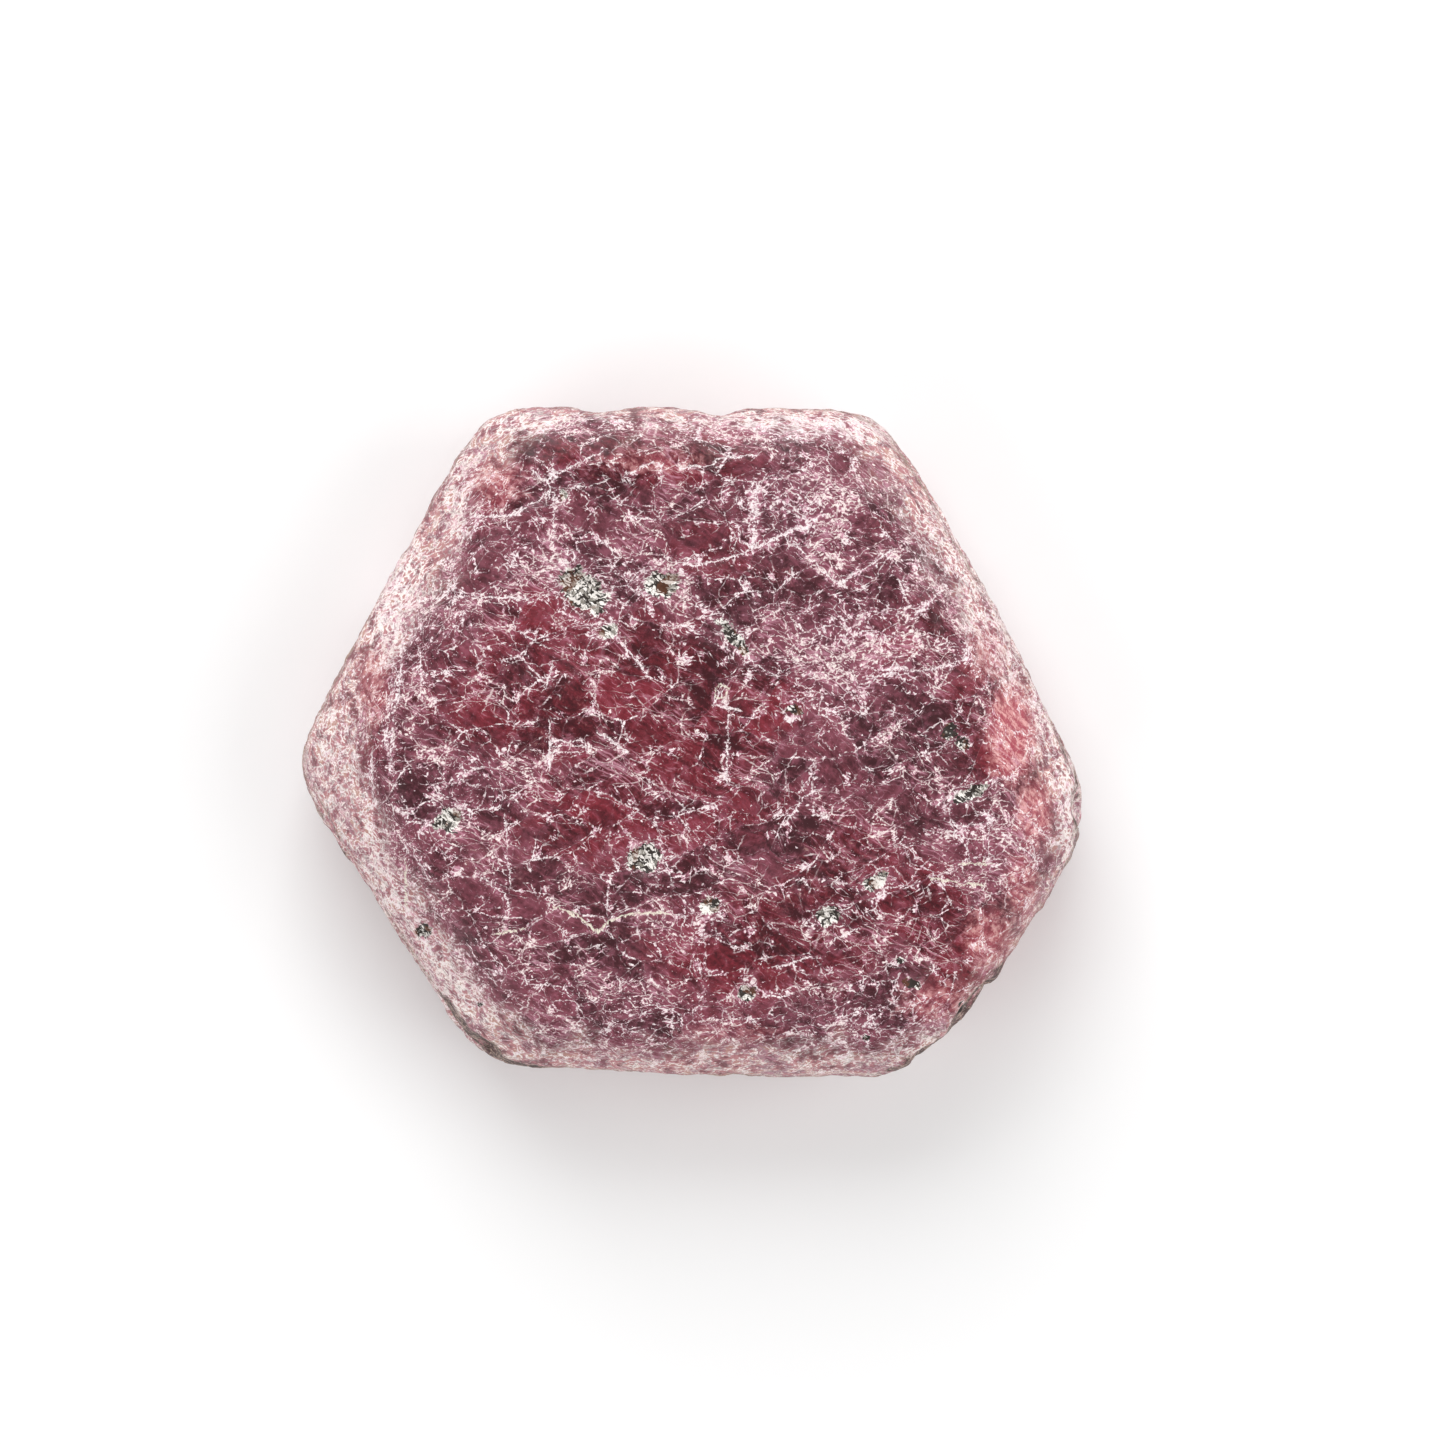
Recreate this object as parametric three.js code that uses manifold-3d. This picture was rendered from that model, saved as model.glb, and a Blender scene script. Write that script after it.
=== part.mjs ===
// Ruby crystal: a flat, six-sided tablet of natural corundum, in one piece.
//
// Two basal faces lie level and six prism faces stand between them. Wear has cut
// the corners back and turned both rims into pale, sloping bands. Mica grains grew
// into the stone and have partly weathered out, which leaves ragged pits with tilted
// flakes on their floors. The rim is chipped, low growth terraces cross both basal
// faces, and a few open cracks run over the top.
//
// Millimetres, +Z up. The crystal rests on its lower basal face at z = 0, and the
// origin is under the middle of its bounding box.

import * as THREE from 'three';
import { ImprovedNoise } from 'three/addons/math/ImprovedNoise.js';
import { mergeVertices } from 'three/addons/utils/BufferGeometryUtils.js';
import Module from 'manifold-3d';

const wasm = await Module();
wasm.setup();

// Height between the basal faces, and how far the lower one is ground past its lumps.
const HEIGHT = 12;
const REST_TRIM = 0.3;

// Vertical faces, by azimuth from +X: their reach from the middle, their lean from
// upright, and the widths of the worn bands above and below, seen from above.
const PRISM_FACES = [
  { azimuth: 27.5, reach: 19.0, lean: 3, upperRim: 3.4, lowerRim: 2.0 },
  { azimuth: 90, reach: 19.1, lean: -2, upperRim: 2.0, lowerRim: 2.6 },
  { azimuth: 151, reach: 19.8, lean: 2, upperRim: 3.8, lowerRim: 1.8 },
  { azimuth: 213, reach: 20.3, lean: 4, upperRim: 3.5, lowerRim: 2.2 },
  { azimuth: 269, reach: 19.0, lean: -3, upperRim: 2.7, lowerRim: 3.0 },
  { azimuth: 327, reach: 21.9, lean: -4, upperRim: 1.8, lowerRim: 2.8 },
];

// Faces that wear has cut across the six corners.
const WORN_CORNERS = [
  { azimuth: 0, reach: 23.1, lean: 0, upperRim: 3.4, lowerRim: 2.6 },
  { azimuth: 44, reach: 20.6, lean: 6, upperRim: 3.0, lowerRim: 2.4 },
  { azimuth: 122, reach: 22.5, lean: -4, upperRim: 2.8, lowerRim: 3.2 },
  { azimuth: 187, reach: 22.95, lean: 8, upperRim: 5.4, lowerRim: 2.0 },
  { azimuth: 246, reach: 21.9, lean: 4, upperRim: 2.4, lowerRim: 3.4 },
  { azimuth: 302, reach: 22.6, lean: -6, upperRim: 1.8, lowerRim: 3.0 },
];

// Slopes of the worn bands: how far their outward direction turns off the level.
const UPPER_RIM_SLOPE = 50;
const LOWER_RIM_SLOPE = 42;

// The higher this power, the crisper the edges where faces meet.
const EDGE_CRISPNESS = 38;

// Round tablet that spreads the mesh evenly: [radius, height] down its profile.
const SPREAD_PROFILE = [[0, 6], [17.3, 6], [20.5, 2.6], [20.5, -3.2], [18, -6], [0, -6]];
const SPREAD_DETAIL = 15;

// Relief of the skin: size across and height of each kind.
const LUMPS = { across: 8.5, height: 0.24 };
const RIPPLES = { across: 3.4, height: 0.11 };
const SIDE_STEPS = { across: 2.9, height: 0.22 };

// Pits left by mica grains in the upper face.
const TOP_PITS = [
  { x: -6.25, y: 8.5, length: 2.7, width: 2.1, depth: 0.75, turn: -50 },
  { x: -1.6, y: 9.0, length: 2.4, width: 1.5, depth: 0.6, turn: 0 },
  { x: -4.7, y: 6.3, length: 1.3, width: 0.8, depth: 0.35, turn: 20 },
  { x: -7.2, y: 14.1, length: 1.0, width: 0.6, depth: 0.4, turn: 80 },
  { x: 2.4, y: 5.8, length: 2.7, width: 0.7, depth: 0.45, turn: -52 },
  { x: 6.0, y: 1.9, length: 1.1, width: 0.9, depth: 0.4, turn: 0 },
  { x: 14.6, y: 0.5, length: 1.1, width: 0.8, depth: 0.45, turn: 70 },
  { x: 15.3, y: -0.3, length: 1.0, width: 0.8, depth: 0.4, turn: 10 },
  { x: 16.0, y: -2.9, length: 2.3, width: 0.8, depth: 0.45, turn: 25 },
  { x: 10.5, y: -8.0, length: 1.5, width: 1.0, depth: 0.5, turn: 30 },
  { x: 7.8, y: -10.0, length: 1.5, width: 1.1, depth: 0.5, turn: 0 },
  { x: 12.7, y: -13.7, length: 1.2, width: 0.7, depth: 0.45, turn: -25 },
  { x: 3.2, y: -14.3, length: 1.2, width: 0.8, depth: 0.45, turn: 10 },
  { x: 0.9, y: -9.4, length: 1.4, width: 1.0, depth: 0.4, turn: 0 },
  { x: -13.8, y: -4.4, length: 1.7, width: 1.4, depth: 0.6, turn: 30 },
  { x: -2.7, y: -6.7, length: 1.9, width: 1.6, depth: 0.65, turn: -20 },
  { x: -15.3, y: -10.9, length: 1.2, width: 0.8, depth: 0.45, turn: 0 },
];

// Pits in the lower face, of the same kind.
const BASE_PITS = [
  { x: -9.0, y: 6.5, length: 2.4, width: 1.7, depth: 0.7, turn: 35 },
  { x: 7.5, y: 9.5, length: 1.8, width: 1.2, depth: 0.5, turn: -20 },
  { x: 12.0, y: -3.0, length: 2.6, width: 1.3, depth: 0.6, turn: 60 },
  { x: -4.0, y: -9.5, length: 1.6, width: 1.4, depth: 0.5, turn: 0 },
  { x: -13.5, y: -3.5, length: 1.4, width: 1.0, depth: 0.45, turn: 15 },
  { x: 3.5, y: -13.0, length: 1.9, width: 1.0, depth: 0.5, turn: -45 },
];

// Chips broken from the rims: where each is centred and its size along and across
// the rim and up it.
const CHIPS = [
  { x: -12.5, y: -17.9, z: 8.6, length: 4.4, width: 2.4, height: 5.4, turn: -32 },
  { x: 16.4, y: -15.4, z: 9.6, length: 4.4, width: 2.4, height: 5.2, turn: 50 },
  { x: 14.0, y: -18.1, z: 8.8, length: 3.8, width: 2.2, height: 5.4, turn: 38 },
  { x: 22.7, y: -3.6, z: 8.4, length: 3.6, width: 2.2, height: 6.2, turn: 84 },
  { x: -5.0, y: 19.5, z: 7.4, length: 3.8, width: 1.7, height: 9.5, turn: 4 },
  { x: 1.4, y: 19.6, z: 6.6, length: 4.4, width: 2.2, height: 9.5, turn: -3 },
  { x: -18.7, y: -8.5, z: 3.6, length: 4.2, width: 2.2, height: 4.0, turn: -58 },
  { x: -16.1, y: 12.0, z: 4.2, length: 4.8, width: 2.0, height: 3.6, turn: 61 },
  { x: 17.3, y: 8.6, z: 2.8, length: 5.2, width: 2.4, height: 3.6, turn: -62 },
  { x: 3.6, y: -19.3, z: 2.8, length: 5.4, width: 2.2, height: 3.4, turn: -2 },
];

// Growth ledges on the prism faces: level bands between two heights, set back from
// the face and turned a little, so that each is deeper at one end and fades at the other.
const SIDE_LEDGES = [
  { azimuth: 27.5, reach: 18.7, turn: 1.6, from: 5.4, to: 7.2 },
  { azimuth: 27.5, reach: 18.7, turn: -1.8, from: 3.4, to: 4.6 },
  { azimuth: 90, reach: 18.85, turn: -1.5, from: 3.2, to: 5.2 },
  { azimuth: 90, reach: 18.9, turn: 1.8, from: 6.6, to: 7.8 },
  { azimuth: 151, reach: 19.5, turn: 1.4, from: 5.2, to: 6.8 },
  { azimuth: 213, reach: 20, turn: 1.7, from: 4.6, to: 6.4 },
  { azimuth: 213, reach: 20, turn: -1.6, from: 7, to: 8 },
  { azimuth: 269, reach: 18.7, turn: -1.4, from: 5.4, to: 7.4 },
  { azimuth: 327, reach: 21.6, turn: 1.5, from: 4.2, to: 5.8 },
  { azimuth: 327, reach: 21.55, turn: -1.2, from: 6.8, to: 8.2 },
];

// Growth terraces: ground let down by a step, inside an outline of [x, y] corners.
const TOP_TERRACES = [
  { step: 0.28, outline: [[-17.6, 7.4], [-16.6, 5.4], [-16.8, 2.2], [-17.1, -0.3], [-17.3, -1.9],
    [-18.3, -5.2], [-25, -5.2], [-25, 8.6]] },
  { step: 0.24, outline: [[-12.6, 12.8], [-10.2, 13], [-8.1, 14.3], [-8.6, 15.2], [-11.4, 16.6],
    [-15.6, 16.4], [-14.8, 13.8]] },
  { step: 0.24, outline: [[8.6, -13.2], [11.6, -15.2], [16, -14.4], [19.4, -10.6], [21, -13],
    [16, -20], [6, -21], [6.4, -16.4]] },
];
const BASE_TERRACES = [
  { step: 0.35, outline: [[2, 12.4], [7.5, 11.2], [12.2, 6.6], [14, 1.4], [24, 2], [16, 20], [0, 22]] },
  { step: 0.3, outline: [[-17.5, 1.6], [-12.4, -6.2], [-9.8, -11.8], [-10.4, -20], [-26, -10]] },
];

// Open cracks over the top: their course, and their width at its widest.
const CRACKS = [
  { width: 0.34, course: [[-16.5, 5.2], [-16.7, 2.4], [-17.0, -0.2], [-17.1, -1.6]] },
  { width: 0.3, course: [[-12.3, 12.8], [-10.2, 13], [-8.6, 13.9], [-8, 14.9], [-8.9, 15.4]] },
  { width: 0.28, course: [[-0.7, 10.2], [1.5, 10.3], [3.9, 10.9], [5.1, 11.8], [7.7, 13]] },
  { width: 0.3, course: [[-8.1, 1.1], [-8, -0.2], [-8.1, -1.5]] },
  { width: 0.3, course: [[13.7, -7.9], [15.5, -8.3], [16.6, -8.2], [17.2, -7.4]] },
  { width: 0.26, course: [[-5, -10.8], [-4.5, -10.3], [-3.3, -9.8], [-1.3, -9.8]] },
  { width: 0.26, course: [[16.9, -4.1], [18.1, -5.4], [19.9, -6.8]] },
];
const CRACK_DEPTH = 0.3;

// Mica flakes stand this thick, and only pits longer than this still hold any.
const FLAKE_THICKNESS = 0.2;
const FLAKE_PIT_LENGTH = 1.3;

const RUBY = new THREE.MeshStandardMaterial({
  name: 'ruby',
  color: 0x7d3145,
  roughness: 0.45,
  metalness: 0,
});

const noise = new ImprovedNoise();

/** Smooth noise of a point, about -1 to 1, whose bumps are `across` wide. */
function bumps(point, across, shift) {
  return noise.noise(point.x / across + shift, point.y / across - shift, point.z / across + 2 * shift);
}

/** Unit vector at an azimuth and an elevation, both in degrees. */
function heading(azimuth, elevation) {
  const polar = THREE.MathUtils.degToRad(90 - elevation);
  const around = THREE.MathUtils.degToRad(azimuth);
  return new THREE.Vector3(
    Math.sin(polar) * Math.cos(around),
    Math.sin(polar) * Math.sin(around),
    Math.cos(polar),
  );
}

/** The plane of a face, as its outward normal and its distance from the middle. */
function plane(azimuth, elevation, throughRadius, throughHeight) {
  const normal = heading(azimuth, elevation);
  const slope = THREE.MathUtils.degToRad(elevation);
  return { normal, distance: throughRadius * Math.cos(slope) + throughHeight * Math.sin(slope) };
}

/** An upright face with the worn bands above and below it. */
function sidePlanes({ azimuth, reach, lean, upperRim, lowerRim }) {
  return [
    plane(azimuth, lean, reach, 0),
    plane(azimuth, UPPER_RIM_SLOPE, reach - upperRim, HEIGHT / 2),
    plane(azimuth, -LOWER_RIM_SLOPE, reach - lowerRim, -HEIGHT / 2),
  ];
}

/** Every plane that bounds the crystal. */
function crystalPlanes() {
  return [
    plane(0, 90, 0, HEIGHT / 2),
    plane(0, -90, 0, -HEIGHT / 2 - REST_TRIM),
    ...PRISM_FACES.flatMap(sidePlanes),
    ...WORN_CORNERS.flatMap(sidePlanes),
  ];
}

/** Distance from the middle to the skin, with edges softened where planes meet. */
function skinRadius(direction, planes) {
  let sum = 0;
  for (const { normal, distance } of planes) {
    const share = Math.max(0, normal.dot(direction)) / distance;
    sum += share ** EDGE_CRISPNESS;
  }
  return sum ** (-1 / EDGE_CRISPNESS);
}

/** The bands of the spreading profile, each with the area it turns into. */
function profileBands() {
  return SPREAD_PROFILE.slice(1).map((end, index) => {
    const start = SPREAD_PROFILE[index];
    const slant = Math.hypot(end[0] - start[0], end[1] - start[1]);
    return { start, end, area: slant * (start[0] + end[0]) };
  });
}

/** Radius and height at a share of the profile's turned area, from the top down. */
function profilePoint(share, bands) {
  const total = bands.reduce((sum, band) => sum + band.area, 0);
  let left = share * total;
  let band = bands[0];
  for (band of bands) {
    if (left <= band.area) {
      break;
    }
    left -= band.area;
  }
  const [inner, outer] = [band.start[0], band.end[0]];
  const part = Math.min(1, left / band.area);
  const radius = Math.sqrt(inner ** 2 + part * (outer ** 2 - inner ** 2));
  const along = inner === outer ? part : (radius - inner) / (outer - inner);
  return { radius, height: THREE.MathUtils.lerp(band.start[1], band.end[1], along) };
}

/** The skin with flat faces: a ball whose points are spread evenly over the tablet. */
function facedSkin() {
  const ball = new THREE.IcosahedronGeometry(1, SPREAD_DETAIL);
  ball.deleteAttribute('normal');
  ball.deleteAttribute('uv');
  const skin = mergeVertices(ball);
  const planes = crystalPlanes();
  const bands = profileBands();
  const points = skin.attributes.position;
  const point = new THREE.Vector3();
  for (let index = 0; index < points.count; index += 1) {
    point.fromBufferAttribute(points, index);
    const around = Math.atan2(point.y, point.x);
    const { radius, height } = profilePoint((1 - point.z) / 2, bands);
    point.set(radius * Math.cos(around), radius * Math.sin(around), height).normalize();
    point.multiplyScalar(skinRadius(point, planes));
    points.setXYZ(index, point.x, point.y, point.z);
  }
  return skin;
}

/** Height of the natural relief at a point of the skin. */
function reliefAt(point, normal) {
  const upright = 1 - Math.abs(normal.z);
  const steps = noise.noise(point.x / 9, point.y / 9, point.z / SIDE_STEPS.across);
  return LUMPS.height * bumps(point, LUMPS.across, 3.7)
    + RIPPLES.height * bumps(point, RIPPLES.across, 9.1)
    + SIDE_STEPS.height * steps * upright;
}

/** Lifts each point of a skin by its relief, along its normal. */
function addRelief(skin) {
  skin.computeVertexNormals();
  const points = skin.attributes.position;
  const normals = skin.attributes.normal;
  const point = new THREE.Vector3();
  const normal = new THREE.Vector3();
  for (let index = 0; index < points.count; index += 1) {
    point.fromBufferAttribute(points, index);
    normal.fromBufferAttribute(normals, index);
    point.addScaledVector(normal, reliefAt(point, normal));
    points.setXYZ(index, point.x, point.y, point.z);
  }
  return skin;
}

/** A closed geometry as a solid. */
function solid(geometry) {
  const bare = geometry.clone();
  bare.deleteAttribute('normal');
  bare.deleteAttribute('uv');
  const merged = mergeVertices(bare);
  return new wasm.Manifold(new wasm.Mesh({
    numProp: 3,
    vertProperties: new Float32Array(merged.attributes.position.array),
    triVerts: new Uint32Array(merged.index.array),
  }));
}

/** Where the skin lies at (x, y): on top with side 1, underneath with side -1. */
function skinHeight(skin, x, y, side) {
  const mesh = new THREE.Mesh(skin);
  const from = new THREE.Vector3(x, y, side * 2 * HEIGHT);
  const ray = new THREE.Raycaster(from, new THREE.Vector3(0, 0, -side));
  return ray.intersectObject(mesh)[0].point.z;
}

/** A ragged lump about `length` by `width` by `height`, with its own unevenness. */
function lump({ length, width, height, turn, detail, unevenness }) {
  const geometry = new THREE.IcosahedronGeometry(1, detail);
  const points = geometry.attributes.position;
  const point = new THREE.Vector3();
  for (let index = 0; index < points.count; index += 1) {
    point.fromBufferAttribute(points, index);
    point.multiplyScalar(1 + unevenness * bumps(point, 0.8, length * 7 + turn));
    points.setXYZ(index, point.x, point.y, point.z);
  }
  geometry.scale(length / 2, width / 2, height / 2);
  geometry.rotateZ(THREE.MathUtils.degToRad(turn));
  return geometry;
}

/** The hollow of one pit. */
function pitHollow(pit, skin, side) {
  const detail = pit.length > FLAKE_PIT_LENGTH ? 1 : 0;
  const geometry = lump({ ...pit, height: 2 * pit.depth, detail, unevenness: 0.45 });
  geometry.translate(pit.x, pit.y, skinHeight(skin, pit.x, pit.y, side));
  return solid(geometry);
}

/** Two tilted mica flakes half sunk in the floor of a pit. */
function pitFlakes(pit, skin, side) {
  const floor = skinHeight(skin, pit.x, pit.y, side) - side * pit.depth * 0.9;
  return [-1, 1].map((end) => {
    const radius = pit.width * (end > 0 ? 0.34 : 0.26);
    const flake = new THREE.CylinderGeometry(radius, radius, FLAKE_THICKNESS, 6);
    flake.rotateX(Math.PI / 2 + end * 0.45);
    flake.rotateY(0.3 * end);
    flake.rotateZ(THREE.MathUtils.degToRad(pit.turn + 20 * end));
    const along = heading(pit.turn, 0).multiplyScalar(end * pit.length * 0.2);
    flake.translate(pit.x + along.x, pit.y + along.y, floor);
    return solid(flake);
  });
}

/** The hollow of one chip. */
function chipHollow(chip) {
  const geometry = lump({ ...chip, detail: 1, unevenness: 0.3 });
  geometry.translate(chip.x, chip.y, chip.z - HEIGHT / 2);
  return solid(geometry);
}

/** The ground taken off a prism face for a ledge. */
function sideLedge({ azimuth, reach, turn, from, to }) {
  const geometry = new THREE.BoxGeometry(HEIGHT, 5 * HEIGHT, to - from);
  geometry.translate(HEIGHT / 2, 0, (from + to - HEIGHT) / 2);
  geometry.rotateZ(THREE.MathUtils.degToRad(turn));
  geometry.translate(reach, 0, 0);
  geometry.rotateZ(THREE.MathUtils.degToRad(azimuth));
  return solid(geometry);
}

/** An upright block over a flat outline, from one height to another. */
function block(outline, from, to) {
  const shape = new THREE.Shape(outline.map(([x, y]) => new THREE.Vector2(x, y)));
  const geometry = new THREE.ExtrudeGeometry(shape, { depth: to - from, bevelEnabled: false });
  geometry.translate(0, 0, from);
  return solid(geometry);
}

/** The ground taken off for a terrace in the upper face. */
function topTerrace({ step, outline }) {
  return block(outline, HEIGHT / 2 - step, HEIGHT);
}

/** The ground taken off for a terrace in the lower face. */
function baseTerrace({ step, outline }) {
  return block(outline, -HEIGHT, -HEIGHT / 2 + step);
}

/** A crack's outline: its course widened in the middle and pointed at both ends. */
function crackOutline({ width, course }) {
  const last = course.length - 1;
  const sides = course.map(([x, y], index) => {
    const before = course[Math.max(0, index - 1)];
    const after = course[Math.min(last, index + 1)];
    const along = new THREE.Vector2(after[0] - before[0], after[1] - before[1]).normalize();
    const half = index === 0 || index === last ? width / 12 : width / 2;
    return { left: [x - along.y * half, y + along.x * half], right: [x + along.y * half, y - along.x * half] };
  });
  return [...sides.map(({ right }) => right), ...sides.map(({ left }) => left).reverse()];
}

/** The slot of one open crack. */
function crackSlot(crack) {
  return block(crackOutline(crack), HEIGHT / 2 - CRACK_DEPTH, HEIGHT);
}

/** Everything under the plane that the crystal rests on. */
function belowRest() {
  const geometry = new THREE.BoxGeometry(80, 80, 2 * HEIGHT);
  geometry.translate(0, 0, -HEIGHT / 2 - HEIGHT);
  return solid(geometry);
}

/** The finished crystal as one solid, about its own middle. */
function crystalSolid() {
  const skin = addRelief(facedSkin());
  const hollows = [
    ...TOP_PITS.map((pit) => pitHollow(pit, skin, 1)),
    ...BASE_PITS.map((pit) => pitHollow(pit, skin, -1)),
    ...CHIPS.map(chipHollow),
    ...SIDE_LEDGES.map(sideLedge),
    ...TOP_TERRACES.map(topTerrace),
    ...BASE_TERRACES.map(baseTerrace),
    ...CRACKS.map(crackSlot),
  ];
  const flakes = TOP_PITS
    .filter((pit) => pit.length > FLAKE_PIT_LENGTH)
    .flatMap((pit) => pitFlakes(pit, skin, 1));
  let crystal = solid(skin);
  for (const hollow of hollows) {
    crystal = crystal.subtract(hollow);
  }
  for (const flake of flakes) {
    crystal = crystal.add(flake);
  }
  return crystal.subtract(belowRest());
}

/** A solid as a drawable geometry, moved to stand over the origin. */
function standingGeometry(crystal) {
  const mesh = crystal.getMesh();
  const geometry = new THREE.BufferGeometry();
  geometry.setAttribute('position', new THREE.BufferAttribute(new Float32Array(mesh.vertProperties), 3));
  geometry.setIndex(new THREE.BufferAttribute(new Uint32Array(mesh.triVerts), 1));
  geometry.computeBoundingBox();
  const middle = geometry.boundingBox.getCenter(new THREE.Vector3());
  geometry.translate(-middle.x, -middle.y, -geometry.boundingBox.min.z);
  const faced = geometry.toNonIndexed();
  faced.computeVertexNormals();
  return faced;
}

const crystal = new THREE.Mesh(standingGeometry(crystalSolid()), RUBY);
crystal.name = 'ruby_crystal';

const group = new THREE.Group();
group.name = 'ruby';
group.add(crystal);

export default group;
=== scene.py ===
"""Ruby crystal: a flat hexagonal tablet of natural corundum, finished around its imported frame."""

import math
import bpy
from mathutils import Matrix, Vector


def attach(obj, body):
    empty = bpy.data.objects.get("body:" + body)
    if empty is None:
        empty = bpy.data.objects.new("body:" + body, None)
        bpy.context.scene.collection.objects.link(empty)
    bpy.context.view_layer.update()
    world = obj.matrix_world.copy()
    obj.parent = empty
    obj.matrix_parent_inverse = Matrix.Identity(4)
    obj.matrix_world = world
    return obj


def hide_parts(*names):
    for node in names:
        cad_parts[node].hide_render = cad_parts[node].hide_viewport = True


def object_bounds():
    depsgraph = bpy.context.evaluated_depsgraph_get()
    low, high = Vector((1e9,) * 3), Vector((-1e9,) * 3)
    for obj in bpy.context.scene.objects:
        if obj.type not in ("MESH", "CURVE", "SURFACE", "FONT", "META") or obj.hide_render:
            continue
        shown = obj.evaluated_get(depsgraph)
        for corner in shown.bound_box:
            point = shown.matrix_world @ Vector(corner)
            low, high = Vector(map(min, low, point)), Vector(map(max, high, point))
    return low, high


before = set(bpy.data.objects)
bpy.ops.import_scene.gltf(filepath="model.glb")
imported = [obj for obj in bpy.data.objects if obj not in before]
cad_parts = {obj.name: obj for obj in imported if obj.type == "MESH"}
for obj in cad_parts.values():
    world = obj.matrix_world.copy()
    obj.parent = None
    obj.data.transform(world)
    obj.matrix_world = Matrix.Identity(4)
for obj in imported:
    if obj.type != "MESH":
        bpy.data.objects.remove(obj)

from types import SimpleNamespace

import bmesh
import bpy
import numpy as np
from mathutils import Vector, noise

bl_info = {
    "name": "Ruby crystal",
    "version": (1, 0, 0),
    "blender": (4, 5, 0),
    "location": "3D View > Sidebar > Ruby",
    "description": "Makes a hexagonal ruby tablet, with frosted skin, cracks and mica pits, and its stage",
    "category": "Add Mesh",
}

MM = 0.001
CAD_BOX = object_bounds()
HEIGHT = CAD_BOX[1][2] / MM
SKIN = "ruby_skin"
SKIN_MAP = "grown_skin"

# Corners of the solid nearer than this are merged before it is remeshed, and the finished
# skin stays this far inside the solid's box, in millimetres.
MERGE_WITHIN = 0.002
BOX_MARGIN = 0.001

# The skin is unrolled in millimetres for its patterns: the upper side and the walls
# outwards from the top's middle, and the lower side this far to the right. The seam
# between the two runs round the walls at this height.
UNROLLED_APART = 100.0
UNROLLED_SEAM = 3.6

# The outline's reach is taken in this many sectors.
SECTORS = 90

# Places on the upper face are charted in steps of CHART_STEP millimetres, to the right
# and down from a corner, and the crystal's middle is at CHART_MIDDLE.
CHART_STEP = 45 / 779
CHART_MIDDLE = (691.5, 742.0)

# The view takes in this many chart steps each way at the height where the crystal is
# widest, in millimetres, and its middle is at VIEW_MIDDLE.
VIEW_STEPS = 1445
VIEW_MIDDLE = (722.5, 722.5)
WIDEST_LEVEL = 5.5

# Each pair from here to CRACK_REACH says where something begins and where it is whole.

# Depths below or above the basal faces of the rim, and heights of the pits in the upper
# side, in millimetres.
RIM_DEPTHS = (0.5, 2.1)
PIT_LEVELS = (6.4, 7.6)

# Shares of the outline's reach, from the middle outwards.
BASAL_REACH = (0.74, 0.84)
SIDE_REACH = (0.86, 0.94)
GRIME_AND_SHADE_REACH = (0.9, 0.95)
THICKEST_REACH = (0.94, 0.985)

# How level the skin lies, from 0 where it stands upright to 1 where it lies flat.
TOP_LEVELNESS = 0.3
SIDE_LEVELNESS = (0.32, 0.08)
EDGE_LEVELNESS = (0.5, 0.25)
PIT_LEVELNESS = (0.1, 0.35)

# How much grime and painted shade the whole edge holds, the height of the band that it keeps
# to and how far from that height it is, in millimetres.
EDGE_GRIME_AND_SHADE = 0.22
GRIME_AND_SHADE_LEVEL = 8.0
GRIME_AND_SHADE_SPREAD = (3.6, 1.4)

# How much of a pit's cover its floor's relief needs, and how far from a crack the skin
# begins to sink, in millimetres.
PIT_FLOOR = (0.4, 0.7)
CRACK_REACH = (0.25, 0.0)

# How far noise shifts these borders, each in its own measure, so that none runs straight.
RIM_WANDER = 0.7
SIDE_WANDER = 0.1
PIT_WANDER = 0.25
ZONE_WANDER = 1.6
EDGE_WANDER = 0.15
THICKEST_WANDER = 0.015
BAND_WANDER = 1.2

# Growth layers lie level, so their noise is drawn out sideways and squeezed upright.
LAYER_SQUEEZE = (0.35, 0.35, 1.6)

# Height of the flakes and hollows on the pits' floors, in millimetres, and how high the
# growth layers stand and the rims' roughness is beside the sides' roughness.
PIT_RELIEF = 0.22
LAYER_SHARE = 0.5
RIM_SHARE = 0.6

# Farther than any crack matters, in millimetres.
FAR = 9.0

# Widths of the patterns on the skin, in millimetres. Real glint flecks and hair cracks are too
# fine to show, so the painted glints and the hair cracks are drawn as coarse as they need to be.
WINDOW = 2.4
SPLINTER = 1.0
GLINT_FLECK = 0.16
HAIR_WIDTH = 0.022

# Hair cracks: heading in degrees, length and gap in millimetres, shift, and whether they
# gather in the clouds or in the breaks.
HAIRS = ((60, 2.6, 0.9, 7.0, False), (12, 4.0, 1.0, 11.0, True))

# What is noted at each point of the skin for the material.
NOTED = (
    "clear", "frost", "painted_glow", "rim", "side", "grime_and_shade", "pit", "pit_shade", "crack", "crack_side",
    "crack_half", "crack_cream")

# Settings shared by the material's nodes.
SMOOTH = {"interpolation_type": "SMOOTHSTEP"}
LAYERED = {"data_type": "RGBA", "clamp_factor": True}
FLAT_NOISE = {"noise_dimensions": "2D"}
FLAT_RIDGES = {"noise_dimensions": "2D", "noise_type": "RIDGED_MULTIFRACTAL", "normalize": False}
FLAT_CELLS = {"voronoi_dimensions": "2D"}
RIDGE = {"Roughness": 0.5, "Lacunarity": 2.0, "Offset": 0.9, "Gain": 3.0}

# Inputs by number: of a Map Range, what goes in, the range it runs over and what comes out
# at each end; and of a Mix of colours, which has several inputs and outputs of one name.
VALUE, LOW, HIGH, AT_LOW, AT_HIGH = range(5)
SHARE, UNDER, OVER = 0, 6, 7
MIXED = 2

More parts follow.
